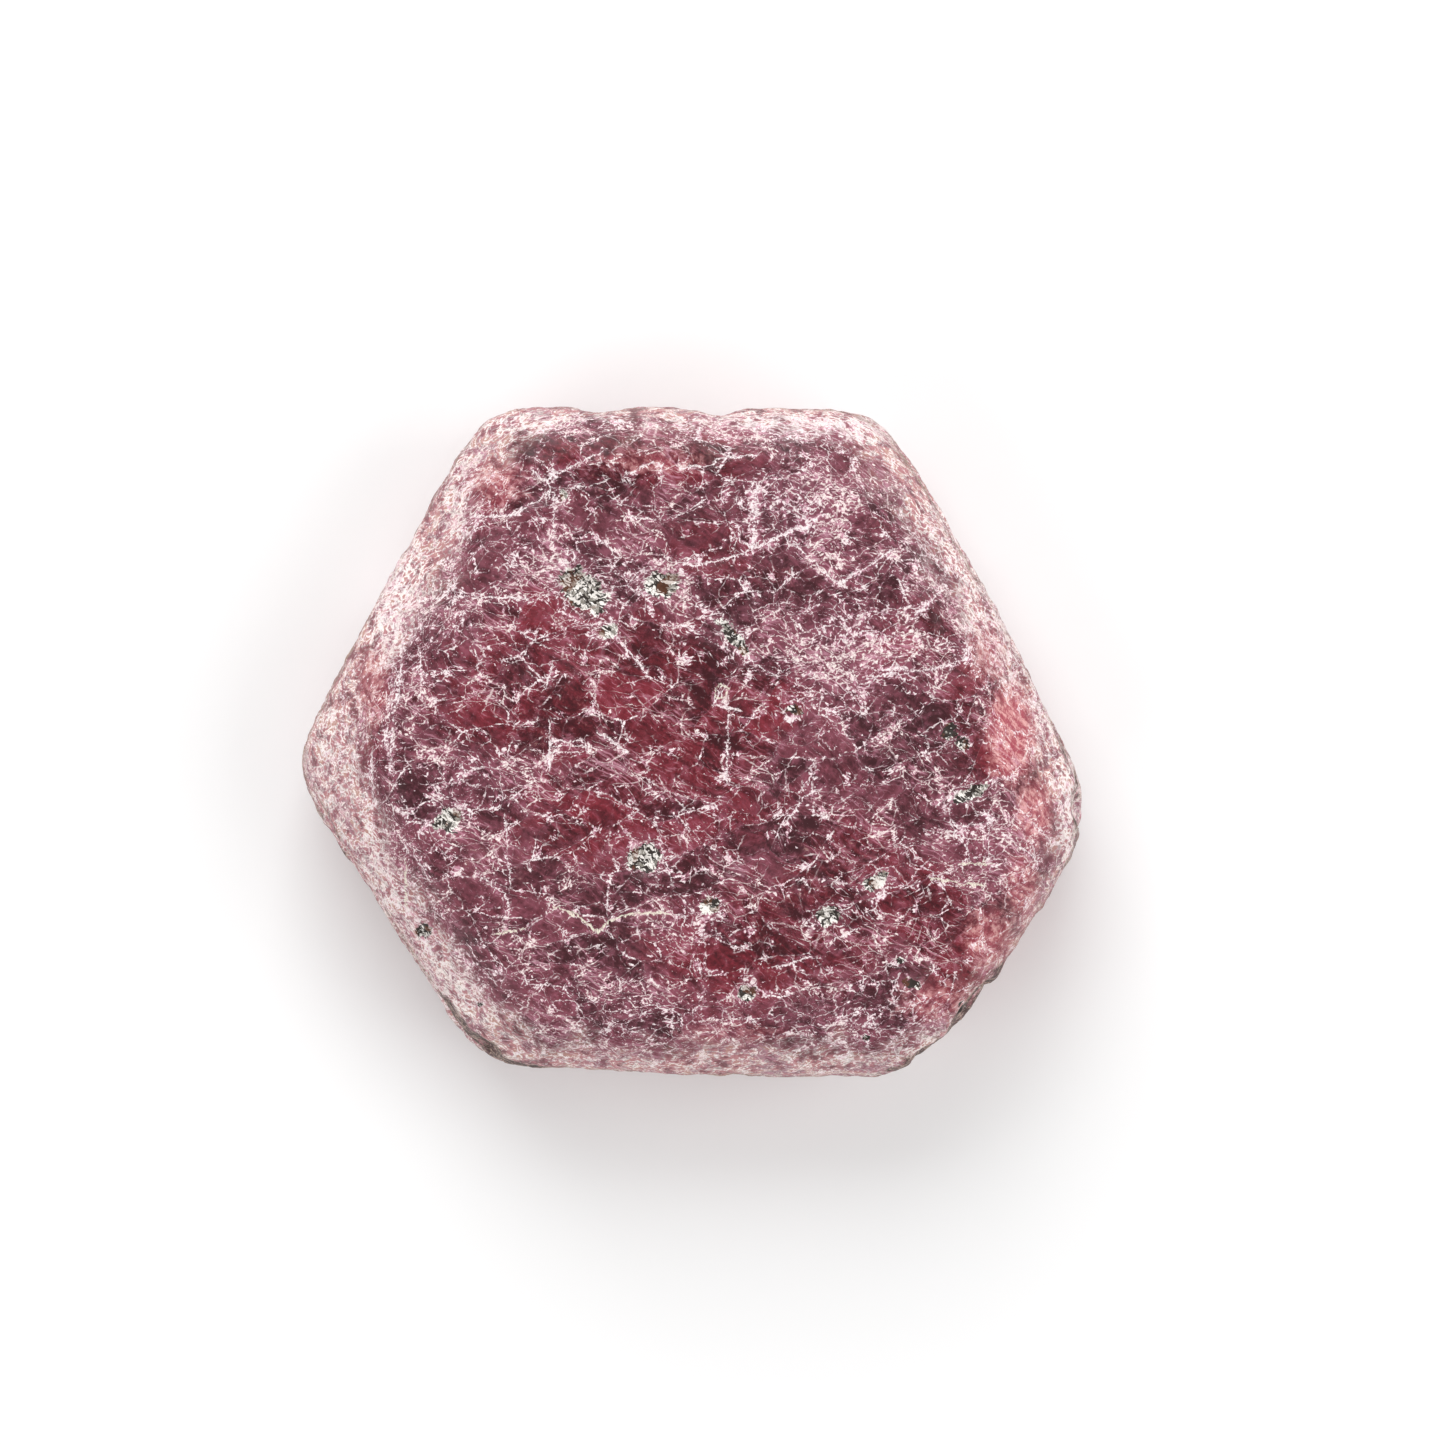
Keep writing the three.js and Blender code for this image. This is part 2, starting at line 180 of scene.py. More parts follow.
# The soft lights: width, places in metres, and how much of a fill's power the left one has.
LIGHT_WIDTH = 0.5
KEY_PLACE = (-0.10, 0.46, 0.38)
RIGHT_PLACE = (0.5, -0.05, 0.42)
LEFT_PLACE = (-0.4, -0.36, 0.42)
LEFT_SHARE = 0.75

# Mica pits: place and size on the chart (x, y, length, width, turn in degrees), and how dark.
PITS = (
    (583, 594, 64, 34, -42, 0.35), (663, 586, 41, 26, 0, 0.4), (610, 632, 22, 14, 20, 0.15),
    (567, 497, 16, 10, 80, 0.6), (733, 641, 47, 12, -52, 0.5), (794, 709, 18, 15, 0, 0.5),
    (944, 733, 18, 14, 70, 0.9), (956, 746, 17, 14, 10, 0.8), (968, 792, 40, 14, 25, 0.45),
    (873, 880, 26, 17, 30, 0.2), (826, 914, 26, 19, 0, 0.4), (911, 978, 21, 12, -25, 0.9),
    (747, 989, 21, 14, 10, 0.7), (707, 904, 24, 17, 0, 0.4), (453, 818, 29, 24, 30, 0.35),
    (645, 858, 33, 28, -20, 0.45), (426, 930, 21, 14, 0, 0.7), (897, 958, 10, 8, 0, 0.5),
    # The dark pits on this row at the lower edge are partly painted shade of shadowed chips.
    (863, 1036, 9, 7, 0, 0.8), (484, 1000, 7, 6, 0, 0.9), (962, 1003, 16, 11, 40, 0.9),
)

# Healed and open cracks: finish, width in millimetres, and course on the chart.
CRACKS = (
    ("white", 0.09, ((537, 476), (551, 486), (553, 493), (543, 502), (516, 517), (507, 519), (478, 519))),
    ("white", 0.08, ((554, 480), (568, 473), (582, 466), (606, 454))),
    ("white", 0.07, ((580, 490), (595, 489), (608, 484))),
    ("white", 0.07, ((627, 478), (654, 466))),
    ("white", 0.06, ((662, 469), (662, 488))),
    ("white", 0.08, ((679, 471), (713, 469), (719, 462), (755, 459))),
    ("white", 0.08, ((634, 520), (658, 523), (678, 519), (704, 504))),
    ("white", 0.10, ((679, 565), (695, 568), (717, 563), (742, 556), (759, 549), (778, 539), (825, 517))),
    ("white", 0.06, ((752, 487), (753, 551))),
    ("white", 0.04, ((757, 490), (756, 548))),
    ("white", 0.08, ((799, 552), (836, 586), (861, 572), (889, 553))),
    ("white", 0.07, ((907, 622), (939, 592))),
    ("white", 0.08, ((880, 672), (896, 668), (907, 672), (928, 671), (964, 659))),
    ("white", 0.06, ((935, 651), (950, 648), (970, 651))),
    ("white", 0.06, ((395, 610), (427, 601), (454, 598), (529, 600))),
    ("white", 0.04, ((452, 563), (452, 597))),
    ("white", 0.04, ((457, 563), (457, 597))),
    ("white", 0.04, ((556, 456), (556, 549))),
    ("white", 0.08, ((404, 648), (404, 676), (401, 704), (397, 710), (396, 746), (394, 770))),
    ("white", 0.04, ((396, 668), (393, 700), (390, 745))),
    ("white", 0.04, ((345, 640), (347, 700), (343, 760))),
    ("white", 0.05, ((376, 753), (376, 823))),
    ("cream", 0.11, ((409, 862), (409, 904))),
    ("white", 0.08, ((617, 637), (647, 672))),
    ("white", 0.08, ((667, 627), (684, 627), (698, 634), (712, 643), (726, 650))),
    ("white", 0.08, ((745, 657), (759, 668), (775, 676))),
    ("white", 0.14, ((724, 707), (738, 711))),
    ("white", 0.08, ((729, 714), (726, 779))),
    ("cream", 0.07, ((714, 692), (719, 684), (728, 688), (726, 698), (717, 700), (714, 692))),
    ("white", 0.08, ((555, 667), (552, 681), (547, 690))),
    ("white", 0.13, ((552, 723), (552, 767))),
    ("white", 0.07, ((552, 741), (583, 741))),
    ("white", 0.07, ((552, 751), (580, 752))),
    ("white", 0.15, ((601, 733), (627, 751))),
    ("white", 0.06, ((508, 816), (513, 881))),
    ("white", 0.06, ((481, 873), (508, 891), (512, 906))),
    ("cream", 0.11, ((500, 932), (526, 926))),
    ("cream", 0.12, ((559, 905), (580, 914), (599, 929), (613, 917), (634, 911), (668, 910))),
    ("white", 0.08, ((787, 819), (801, 798), (820, 787))),
    ("white", 0.08, ((775, 963), (792, 960), (806, 954))),
    ("white", 0.08, ((829, 941), (837, 934), (855, 926))),
    ("white", 0.06, ((982, 811), (1003, 835), (1013, 843), (1034, 859))),
    ("white", 0.06, ((1017, 808), (1034, 826), (1046, 839))),
    ("white", 0.06, ((984, 826), (984, 860))),
    ("cream", 0.10, ((959, 862), (988, 862))),
    ("cream", 0.12, ((929, 876), (959, 882), (977, 883))),
)

# Where the stone is clear crimson, where a pale frost lies over it and where a glow of light
# through a thin edge is painted on: place on the chart, reach across and down, and strength.
CLEAR_ZONES = (
    (590, 690, 120, 60, 1.0), (700, 740, 60, 45, 1.0), (650, 810, 110, 50, 0.6), (650, 455, 90, 28, 0.9),
    (475, 490, 34, 34, 0.7), (545, 635, 50, 40, 0.8), (850, 868, 45, 40, 0.9), (915, 902, 40, 34, 1.0),
    (730, 940, 70, 50, 0.7), (1000, 700, 45, 70, 0.9), (760, 700, 40, 30, 0.7), (960, 958, 45, 40, 0.7),
    (820, 930, 60, 50, 0.5), (930, 640, 60, 40, 0.4), (720, 560, 60, 50, 0.25), (870, 520, 50, 40, 0.1),
    (365, 690, 26, 60, 0.7), (1040, 740, 26, 60, 0.6),
)
FROST_ZONES = (
    (800, 510, 60, 45, 0.75), (850, 650, 70, 60, 0.7), (350, 760, 50, 60, 0.35), (400, 870, 50, 70, 0.5),
    (440, 650, 50, 50, 0.5), (480, 775, 50, 30, 0.5), (860, 1020, 80, 35, 0.5), (450, 980, 60, 50, 0.6),
    (1000, 640, 50, 70, 0.6), (620, 1010, 110, 40, 0.35), (980, 850, 60, 50, 0.3), (580, 570, 90, 30, 0.35),
    (940, 560, 60, 50, 0.5), (520, 550, 50, 25, 0.4), (750, 610, 60, 40, 0.3), (690, 925, 40, 25, 0.6),
    (560, 428, 80, 10, 0.8), (780, 432, 130, 14, 1.0), (398, 600, 28, 80, 0.8), (1008, 595, 24, 80, 1.0),
    (1045, 690, 20, 60, 0.9), (1066, 800, 14, 60, 0.8), (468, 500, 20, 50, 0.8), (962, 500, 20, 50, 0.9),
    (885, 880, 60, 40, 0.35), (535, 640, 50, 50, 0.35), (700, 825, 70, 35, 0.3),
)
PAINTED_GLOW_ZONES = (
    (1008, 732, 24, 48, 0.9), (1030, 812, 20, 36, 0.7), (1018, 885, 20, 36, 0.6), (985, 655, 22, 34, 0.5),
    (498, 488, 34, 24, 0.55), (655, 466, 60, 14, 0.45), (378, 690, 20, 46, 0.5), (935, 1000, 44, 22, 0.5),
    (985, 935, 26, 36, 0.6), (730, 1030, 60, 12, 0.4),
)

# Where umber grime and painted shade lie thickest along the widest edge.
GRIME_AND_SHADE_ZONES = (
    (488, 1046, 36, 26, 0.95), (456, 1016, 24, 32, 0.75), (522, 1062, 40, 16, 0.7), (950, 1031, 32, 28, 0.95),
    (920, 1053, 36, 18, 0.75), (978, 990, 24, 30, 0.9), (1062, 815, 14, 70, 0.6), (330, 860, 24, 70, 0.45),
)


def linear(hex_colour):
    """The linear RGBA of an sRGB hex value."""
    channels = [int(hex_colour[at:at + 2], 16) / 255 for at in (1, 3, 5)]
    return tuple(c / 12.92 if c <= 0.04045 else ((c + 0.055) / 1.055) ** 2.4 for c in channels) + (1.0,)


def colour_setting(name, description, hex_colour):
    """A colour that a user can change, given by its sRGB hex value."""
    return bpy.props.FloatVectorProperty(
        name=name, description=description, default=linear(hex_colour), size=4, min=0, max=1, subtype="COLOR")


class RubyCrystalSettings(bpy.types.PropertyGroup):
    """Sizes and colours of the crystal's skin."""

    grain: bpy.props.FloatProperty(
        name="Mesh grain", description="Width of the skin's faces", default=0.225 * MM, unit="LENGTH")
    skin_relief: bpy.props.FloatProperty(
        name="Skin relief", description="Height of the low relief on the basal faces", default=0.08 * MM,
        unit="LENGTH")
    rim_relief: bpy.props.FloatProperty(
        name="Rim relief", description="Height of the worn roughness on the rims and sides",
        default=0.11 * MM, unit="LENGTH")
    crack_depth: bpy.props.FloatProperty(
        name="Crack depth", description="Depth of the charted cracks", default=0.06 * MM, unit="LENGTH")
    clear_dark: colour_setting("Clear, dark", "Deepest crimson", "#3A0711")
    clear_light: colour_setting("Clear, light", "Crimson with light in it", "#852734")
    cloudy_dark: colour_setting("Cloudy, dark", "Darkest mauve", "#3B141B")
    cloudy_light: colour_setting("Cloudy, light", "Palest mauve", "#7B3D4A")
    veil: colour_setting("Veil", "Rose veils of tiny healed cracks", "#9A586A")
    thread: colour_setting("Thread", "Lilac threads in the veils", "#D99FB2")
    # This is also the colour of the painted glints in the flecks.
    line: colour_setting("Line", "Light caught in fine cracks", "#FFF2F3")
    line_warm: colour_setting("Line, warm", "Cracks with a little clay in them", "#FFF0EC")
    # Painted glow: rose and salmon where light through a thin edge is painted into the colour.
    painted_glow: colour_setting("Blush", "Rose red where light comes through a thin edge", "#B04E5C")
    painted_glow_pale: colour_setting("Blush, pale", "Palest salmon", "#EFB4B0")
    rim: colour_setting("Rim", "Dusty rose of the worn rim", "#BD8387")
    rim_pale: colour_setting("Rim, pale", "Palest frost on the rim", "#FFF4EF")
    rim_dark: colour_setting("Rim, dark", "Umber in the rim's furrows", "#694449")
    rim_violet: colour_setting("Rim, violet", "Violet-grey patches of the rim", "#A98793")
    rim_tan: colour_setting("Rim, tan", "Clay rubbed into the rim", "#C7A28E")
    side: colour_setting("Side", "Olive clay in the sides' striations", "#A08C6E")
    side_dark: colour_setting("Side, dark", "Dusky wine red of the sides", "#74484C")
    # The umber band along the widest edge is partly dirt and partly painted shade.
    grime_and_shade: colour_setting("Grime", "Umber dirt packed along the edge", "#3A2B26")
    grime_and_shade_pale: colour_setting("Grime, pale", "Scratches through the dirt", "#C6A696")
    # In the pits the pale flakes carry painted highlights, and the dark gaps carry painted shade as well as
    # dark mica.
    mica: colour_setting("Mica", "Warm grey mica in the pits", "#8F8980")
    mica_pale: colour_setting("Mica, pale", "Flakes that catch the light", "#FAF4EE")
    mica_dark: colour_setting("Mica, dark", "Shadowed gaps between flakes", "#2E241F")
    rust: colour_setting("Rust", "Iron stain in some pits", "#8A4A2A")
    cream: colour_setting("Cream", "Feldspar and clay beside the pits", "#EFE9D6")


class RubyStageSettings(bpy.types.PropertyGroup):
    """Size, light and colour of the stage."""

    floor_width: bpy.props.FloatProperty(
        name="Floor width", description="Width of the pale floor", default=3.0, unit="LENGTH")
    floor_colour: colour_setting("Floor", "Colour of the matt floor", "#FAFAFA")
    key_power: bpy.props.FloatProperty(
        name="Key power", description="Power of the main soft light, in watts", default=2.6, unit="POWER")
    fill_power: bpy.props.FloatProperty(
        name="Fill power", description="Power of each fill light, in watts", default=1.5, unit="POWER")
    sky: bpy.props.FloatProperty(
        name="Sky", description="Brightness of the even light all round", default=0.46)
    view_width: bpy.props.FloatProperty(
        name="View width", description="Width of the view at the crystal's widest level",
        default=VIEW_STEPS * CHART_STEP * MM, unit="LENGTH")
    lens: bpy.props.FloatProperty(
        name="Lens", description="Focal length in millimetres", default=200.0, unit="CAMERA")


def add_node(tree, kind, links=None, output=0, **settings):
    """Adds a node with its settings, feeds its inputs values or outputs, and gives one of its outputs."""
    made = tree.nodes.new("ShaderNode" + kind)
    for name, value in settings.items():
        setattr(made, name, value)
    for name, value in (links or {}).items():
        if isinstance(value, bpy.types.NodeSocket):
            tree.links.new(value, made.inputs[name])
        else:
            made.inputs[name].default_value = value
    return made.outputs[output] if made.outputs else None


# --- The skin's shape ---------------------------------------------------------------


def charted(x, y):
    """A place on the chart in millimetres from the crystal's middle."""
    return (x - CHART_MIDDLE[0]) * CHART_STEP, (CHART_MIDDLE[1] - y) * CHART_STEP


def skin_mesh(grain):
    """A fine, even copy of the crystal's node, with its planes rounded over by smoothing."""
    work = bmesh.new()
    work.from_mesh(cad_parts["ruby_crystal"].data)
    bmesh.ops.remove_doubles(work, verts=work.verts, dist=MERGE_WITHIN * MM)
    mesh = bpy.data.meshes.new(SKIN)
    work.to_mesh(mesh)
    work.free()
    skin = bpy.data.objects.new(SKIN, mesh)
    bpy.context.scene.collection.objects.link(skin)
    remesh = skin.modifiers.new("Even grain", "REMESH")
    remesh.mode = "VOXEL"
    remesh.voxel_size = grain
    smooth = skin.modifiers.new("Worn planes", "SMOOTH")
    smooth.factor = 0.5
    smooth.iterations = 10
    evaluated = skin.evaluated_get(bpy.context.evaluated_depsgraph_get())
    fine = bpy.data.meshes.new_from_object(evaluated)
    skin.modifiers.clear()
    skin.data = fine
    fine.name = SKIN
    bpy.data.meshes.remove(mesh)
    return skin


def vertex_array(mesh, field, width):
    """A mesh's vertex numbers of one kind as an array."""
    flat = np.empty(len(mesh.vertices) * width, dtype=np.float64)
    mesh.vertices.foreach_get(field, flat)
    return flat.reshape(-1, width)


def ramp(values, low, high):
    """0 below low, 1 above high, and smooth between; low may be the greater."""
    share = np.clip((values - low) / (high - low), 0, 1)
    return share * share * (3 - 2 * share)


def noise_at(points, across, octaves=3, shift=0.0):
    """Smooth noise, about -1 to 1, at points in millimetres, with bumps that wide."""
    offset = Vector((shift, 1.7 * shift, -shift))
    return np.array([noise.fractal(Vector(p) / across + offset, 1.0, 2.0, octaves) for p in points])


def nearest_crack(flat):
    """For each point, the nearest crack: how far it is, how far to one side or the other, the crack's
    half width, all in millimetres, and 1 where it is a cream one."""
    nearest = np.full(len(flat), FAR)
    aside = np.full(len(flat), FAR)
    half = np.zeros(len(flat))
    cream = np.zeros(len(flat))
    for finish, width, course in CRACKS:
        corners = [np.array(charted(*place)) for place in course]
        for start, end in zip(corners, corners[1:]):
            along = end - start
            offset = flat - start
            share = np.clip((offset @ along) / (along @ along), 0, 1)
            away = np.hypot(*(offset - share[:, None] * along).T)
            hand = np.where(along[0] * offset[:, 1] > along[1] * offset[:, 0], 1.0, -1.0)
            nearer = away < nearest
            nearest = np.where(nearer, away, nearest)
            aside = np.where(nearer, away * hand, aside)
            half = np.where(nearer, width / 2, half)
            cream = np.where(nearer, float(finish == "cream"), cream)
    return nearest, aside, half, cream


def zone_strength(flat, zones):
    """How strongly the charted zones cover each point: wholly in a zone's middle, and half at its reach."""
    strength = np.zeros(len(flat))
    for x, y, across, down, peak in zones:
        middle = np.array(charted(x, y))
        offset = (flat - middle) / (np.array((across, down)) * CHART_STEP)
        strength = np.maximum(strength, peak * np.exp(-0.7 * (offset ** 2).sum(axis=1) ** 1.5))
    return strength


def pit_cover(flat):
    """1 in the middle of a mica pit, a half at its edge and 0 well outside it, and how dark the pit is."""
    cover = np.zeros(len(flat))
    shade = np.zeros(len(flat))
    for x, y, length, width, turn, dark in PITS:
        angle = math.radians(turn)
        along = np.array((math.cos(angle), math.sin(angle)))
        across = np.array((-along[1], along[0]))
        offset = flat - np.array(charted(x, y))
        u = offset @ along / (length * CHART_STEP / 2)
        v = offset @ across / (width * CHART_STEP / 2)
        inside = np.clip(2 - np.hypot(u, v), 0, 2) / 2
        shade = np.where(inside > cover, dark, shade)
        cover = np.maximum(cover, inside)
    return cover, shade


def outline_reach(points):
    """How far from the middle the outline lies in each point's direction."""
    turn = np.arctan2(points[:, 1], points[:, 0])
    sector = np.floor((turn / math.tau + 0.5) * SECTORS).astype(int) % SECTORS
    outline = np.zeros(SECTORS)
    np.maximum.at(outline, sector, np.hypot(points[:, 0], points[:, 1]))
    middles = (np.arange(SECTORS) + 0.5) / SECTORS * math.tau - math.pi
    return np.interp(turn, middles, outline, period=math.tau)


def unroll_skin(mesh, points, reach):
    """Gives the skin its pattern map, in millimetres, cut level low on the walls.

    Within the basal faces the map is the plain plan, so that no pit stretches it, and
    under the widest level it goes on outwards as the wall draws in.
    """
    span = np.hypot(points[:, 0], points[:, 1])
    heading = points[:, :2] / np.maximum(span, 0.001)[:, None]
    beyond = ramp(span / reach, *BASAL_REACH)
    drawn_in = ramp(points[:, 2], WIDEST_LEVEL, UNROLLED_SEAM) * (reach - span)
    upper = heading * (span + drawn_in + beyond * (HEIGHT - points[:, 2]))[:, None]
    lower = heading * (span + beyond * points[:, 2])[:, None] + (UNROLLED_APART, 0)
    corners = np.empty(len(mesh.loops), dtype=np.int32)
    mesh.loops.foreach_get("vertex_index", corners)
    faces = np.repeat(np.arange(len(mesh.polygons)), [polygon.loop_total for polygon in mesh.polygons])
    level = np.zeros(len(mesh.polygons))
    np.maximum.at(level, faces, points[corners, 2])
    places = np.where((level[faces] > UNROLLED_SEAM)[:, None], upper[corners], lower[corners])
    layer = mesh.uv_layers.new(name=SKIN_MAP)
    layer.data.foreach_set("uv", places.astype(np.float32).ravel())


def grime_and_shade_cover(points, levelness, share, ragged):
    """How much grime and painted shade lies at each point: thickest in charted zones, and thin along the
    whole widest edge.

    The zones' outlines are ragged, and some growth layers are scraped clean.
    """
    thickest = zone_strength(points[:, :2] + ZONE_WANDER * ragged[:, None], GRIME_AND_SHADE_ZONES)
    thickest -= 0.5 * np.abs(noise_at(points * LAYER_SQUEEZE, 0.7, shift=9.0))
    thickest = np.maximum(thickest, 0)
    edge = (EDGE_GRIME_AND_SHADE + thickest) * ramp(levelness + EDGE_WANDER * ragged, *EDGE_LEVELNESS)
    thickest = thickest * ramp(share + THICKEST_WANDER * ragged, *THICKEST_REACH)
    off_level = np.abs(points[:, 2] - GRIME_AND_SHADE_LEVEL) + BAND_WANDER * noise_at(points, 1.5, shift=3.0)
    cover = np.minimum(np.maximum(thickest, edge), 1)
    return cover * ramp(share, *GRIME_AND_SHADE_REACH) * ramp(off_level, *GRIME_AND_SHADE_SPREAD)


def fine_relief(points, settings, rim, side, crack, pit):
    """How far each point lifts: a low swell, worn rims, layered sides, sunk cracks and ragged pit floors."""
    rim_relief = settings.rim_relief / MM
    lift = settings.skin_relief / MM * noise_at(points, 1.3, shift=2.0)
    lift += rim_relief * noise_at(points, 1.1, octaves=4, shift=8.0) * np.maximum(RIM_SHARE * rim, side)
    lift += LAYER_SHARE * rim_relief * noise_at(points * LAYER_SQUEEZE, 1.2, shift=4.0) * side
    lift -= settings.crack_depth / MM * ramp(crack, *CRACK_REACH)
    lift += PIT_RELIEF * noise_at(points, 0.5, octaves=2, shift=1.0) * ramp(pit, *PIT_FLOOR)
    return lift


def shape_skin(skin, settings):
    """Adds the fine relief to the skin and notes what lies where for the material."""
    mesh = skin.data
    points = vertex_array(mesh, "co", 3) / MM
    normals = vertex_array(mesh, "normal", 3)
    flat = points[:, :2]
    levelness = np.abs(normals[:, 2])
    reach = outline_reach(points)
    share = np.hypot(points[:, 0], points[:, 1]) / reach
    unroll_skin(mesh, points, reach)

    ragged = noise_at(points, 2.2, shift=5.0)
    depth = np.minimum(HEIGHT - points[:, 2], points[:, 2])
    rim = ramp(depth + RIM_WANDER * ragged, *RIM_DEPTHS) * ramp(share, *BASAL_REACH)
    side = ramp(levelness + SIDE_WANDER * ragged, *SIDE_LEVELNESS) * ramp(share, *SIDE_REACH)
    crack, crack_side, crack_half, crack_cream = nearest_crack(flat)
    crack = np.where(normals[:, 2] > TOP_LEVELNESS, np.minimum(crack, 1), 1)
    pit, pit_shade = pit_cover(flat + PIT_WANDER * ragged[:, None])
    pit *= ramp(normals[:, 2], *PIT_LEVELNESS) * ramp(points[:, 2], *PIT_LEVELS)
    notes = {
        "clear": zone_strength(flat, CLEAR_ZONES),
        "frost": zone_strength(flat, FROST_ZONES),
        "painted_glow": zone_strength(flat, PAINTED_GLOW_ZONES),
        "rim": rim,
        "side": side,
        "grime_and_shade": grime_and_shade_cover(points, levelness, share, ragged),
        "pit": pit,
        "pit_shade": pit_shade,
        "crack": crack,
        "crack_side": crack_side,
        "crack_half": crack_half,
        "crack_cream": crack_cream,
    }
    for name, values in notes.items():
        layer = mesh.attributes.new(name, "FLOAT", "POINT")
        layer.data.foreach_set("value", values.astype(np.float32))

    moved = points + normals * fine_relief(points, settings, rim, side, crack, pit)[:, None]
    low, high = np.array(CAD_BOX) / MM
    moved = np.clip(moved, low + BOX_MARGIN, high - BOX_MARGIN)
    mesh.vertices.foreach_set("co", (moved * MM).ravel())
    mesh.update()


# --- The skin's material --------------------------------------------------------------


def pushed(tree, place, per_mm, reach, detail=1.0):
    """Places pushed about by noise, up to about half of reach each way."""
    push = {"Vector": place, "Scale": per_mm, "Detail": detail}
    push = add_node(tree, "TexNoise", push, "Color", **FLAT_NOISE)
    centred = add_node(tree, "VectorMath", {0: push, 1: (0.5, 0.5, 0.5)}, operation="SUBTRACT")
    aside = {0: centred, 1: (reach, reach, 0), 2: place}
    return add_node(tree, "VectorMath", aside, operation="MULTIPLY_ADD")


def level_turn(degrees):
    """A turn about the upright axis."""
    return 0, 0, math.radians(degrees)


def weighted(tree, *terms):
    """The sum of numbers, each given with its weight."""
    total = 0.0
    for value, weight in terms:
        total = add_node(tree, "Math", {0: value, 1: weight, 2: total}, operation="MULTIPLY_ADD")
    return total


def cell_edge(tree, place, cell, reach, soft):
    """The edges between cells that wide, as lines that reach that far to each side, in millimetres."""
    cells = {"Vector": place, "Scale": 1 / cell}
    away = add_node(tree, "TexVoronoi", cells, feature="DISTANCE_TO_EDGE", **FLAT_CELLS)
    away = weighted(tree, (away, cell), (reach, -1.0))
    return away, add_node(tree, "MapRange", {VALUE: away, LOW: soft, HIGH: 0.0}, **SMOOTH)


def hair_cracks(tree, place, heading, length, gap, shift):
    """Long thin splinters that run one way, drawn by the hair cracks between them."""
    turned = {"Vector": place, "Location": (shift, shift, 0), "Rotation": level_turn(heading)}
    turned = add_node(tree, "Mapping", turned)
    drawn = add_node(tree, "VectorMath", {0: turned, 1: (1 / length, 1 / gap, 1)}, operation="MULTIPLY")
    splinters = {"Vector": drawn, "Scale": 1.0}
    edge = add_node(tree, "TexVoronoi", splinters, feature="DISTANCE_TO_EDGE", **FLAT_CELLS)
    width = HAIR_WIDTH / gap
    return add_node(tree, "MapRange", {VALUE: edge, LOW: width, HIGH: 0.2 * width}, **SMOOTH)


def grown_patterns(tree):
    """What the skin's colours share: the notes on its points, and noises at places on its map."""
    noted = {name: add_node(tree, "Attribute", output="Fac", attribute_name=name) for name in NOTED}

    # Places on the map: bent in long waves, torn, finely frayed, and turned and drawn out one way.
    place = add_node(tree, "UVMap", uv_map=SKIN_MAP)
    bent = pushed(tree, place, 0.4, 0.8)
    torn = pushed(tree, bent, 3.0, 0.25, 3.0)
    fine = pushed(tree, bent, 2.0, 0.2, 4.0)
    aside = add_node(tree, "Mapping", {"Vector": bent, "Location": (3, 9, 0)})
    torn_aside = {"Vector": torn, "Location": (7, 3, 0), "Rotation": level_turn(-20), "Scale": (0.7, 1.1, 1)}
    torn_aside = add_node(tree, "Mapping", torn_aside)
    streaked = {"Vector": torn, "Rotation": level_turn(36), "Scale": (0.6, 1.15, 1)}
    streaked = add_node(tree, "Mapping", streaked)
    leaning = {"Vector": fine, "Rotation": level_turn(17), "Scale": (1.4, 0.8, 1)}
    leaning = add_node(tree, "Mapping", leaning, vector_type="TEXTURE")
    combed = {"Vector": fine, "Rotation": level_turn(-33), "Scale": (4.5, 0.77, 1)}
    combed = add_node(tree, "Mapping", combed, vector_type="TEXTURE")

    # Clouds over 3 mm wide, breaks over 1 mm, smoke over 0.5 mm and grit over 0.15 mm.
    cloud = {"Vector": bent, "Scale": 0.3, "Detail": 2.0, "Roughness": 0.5}
    breaks = {"Vector": aside, "Scale": 0.9, "Detail": 3.0, "Roughness": 0.6}
    smoke = {"Vector": torn, "Scale": 1.8, "Detail": 4.0, "Roughness": 0.65}
    grit = {"Vector": torn, "Scale": 7.0, "Detail": 3.0, "Roughness": 0.7}
    cloud, breaks, smoke, grit = (
        add_node(tree, "TexNoise", inputs, **FLAT_NOISE) for inputs in (cloud, breaks, smoke, grit))

    # Sharp ridges: coarse and streaked, fine, and combed one way.
    ridges = {"Vector": streaked, "Scale": 1.15, "Detail": 6.0, **RIDGE}
    fine_ridges = {"Vector": torn_aside, "Scale": 2.6, "Detail": 5.0, **RIDGE}
    combing = {"Vector": combed, "Scale": 1.5, "Detail": 4.0, **RIDGE}
    ridges, fine_ridges, combing = (
        add_node(tree, "TexNoise", inputs, **FLAT_RIDGES) for inputs in (ridges, fine_ridges, combing))

    glint_flecks = {"Vector": torn, "Scale": 1 / GLINT_FLECK}
    glint_flecks = add_node(tree, "TexVoronoi", glint_flecks, "Color", feature="F1", **FLAT_CELLS)
    glint_fleck_tone = add_node(tree, "SeparateColor", {0: glint_flecks}, "Red")

    # Growth layers lie level through the whole stone.
    layers = add_node(tree, "TexCoord", output="Object")
    layers = add_node(tree, "Mapping", {"Vector": layers, "Scale": (0.3 / MM, 0.3 / MM, 2.2 / MM)})
    layers = add_node(tree, "TexNoise", {"Vector": layers, "Scale": 1.0, "Detail": 3.0, "Roughness": 0.6})
    return SimpleNamespace(
        **noted, torn=torn, fine=fine, torn_aside=torn_aside, leaning=leaning, cloud=cloud, breaks=breaks,
        smoke=smoke, grit=grit, ridges=ridges, fine_ridges=fine_ridges, combing=combing,
        glint_fleck_tone=glint_fleck_tone, layers=layers)


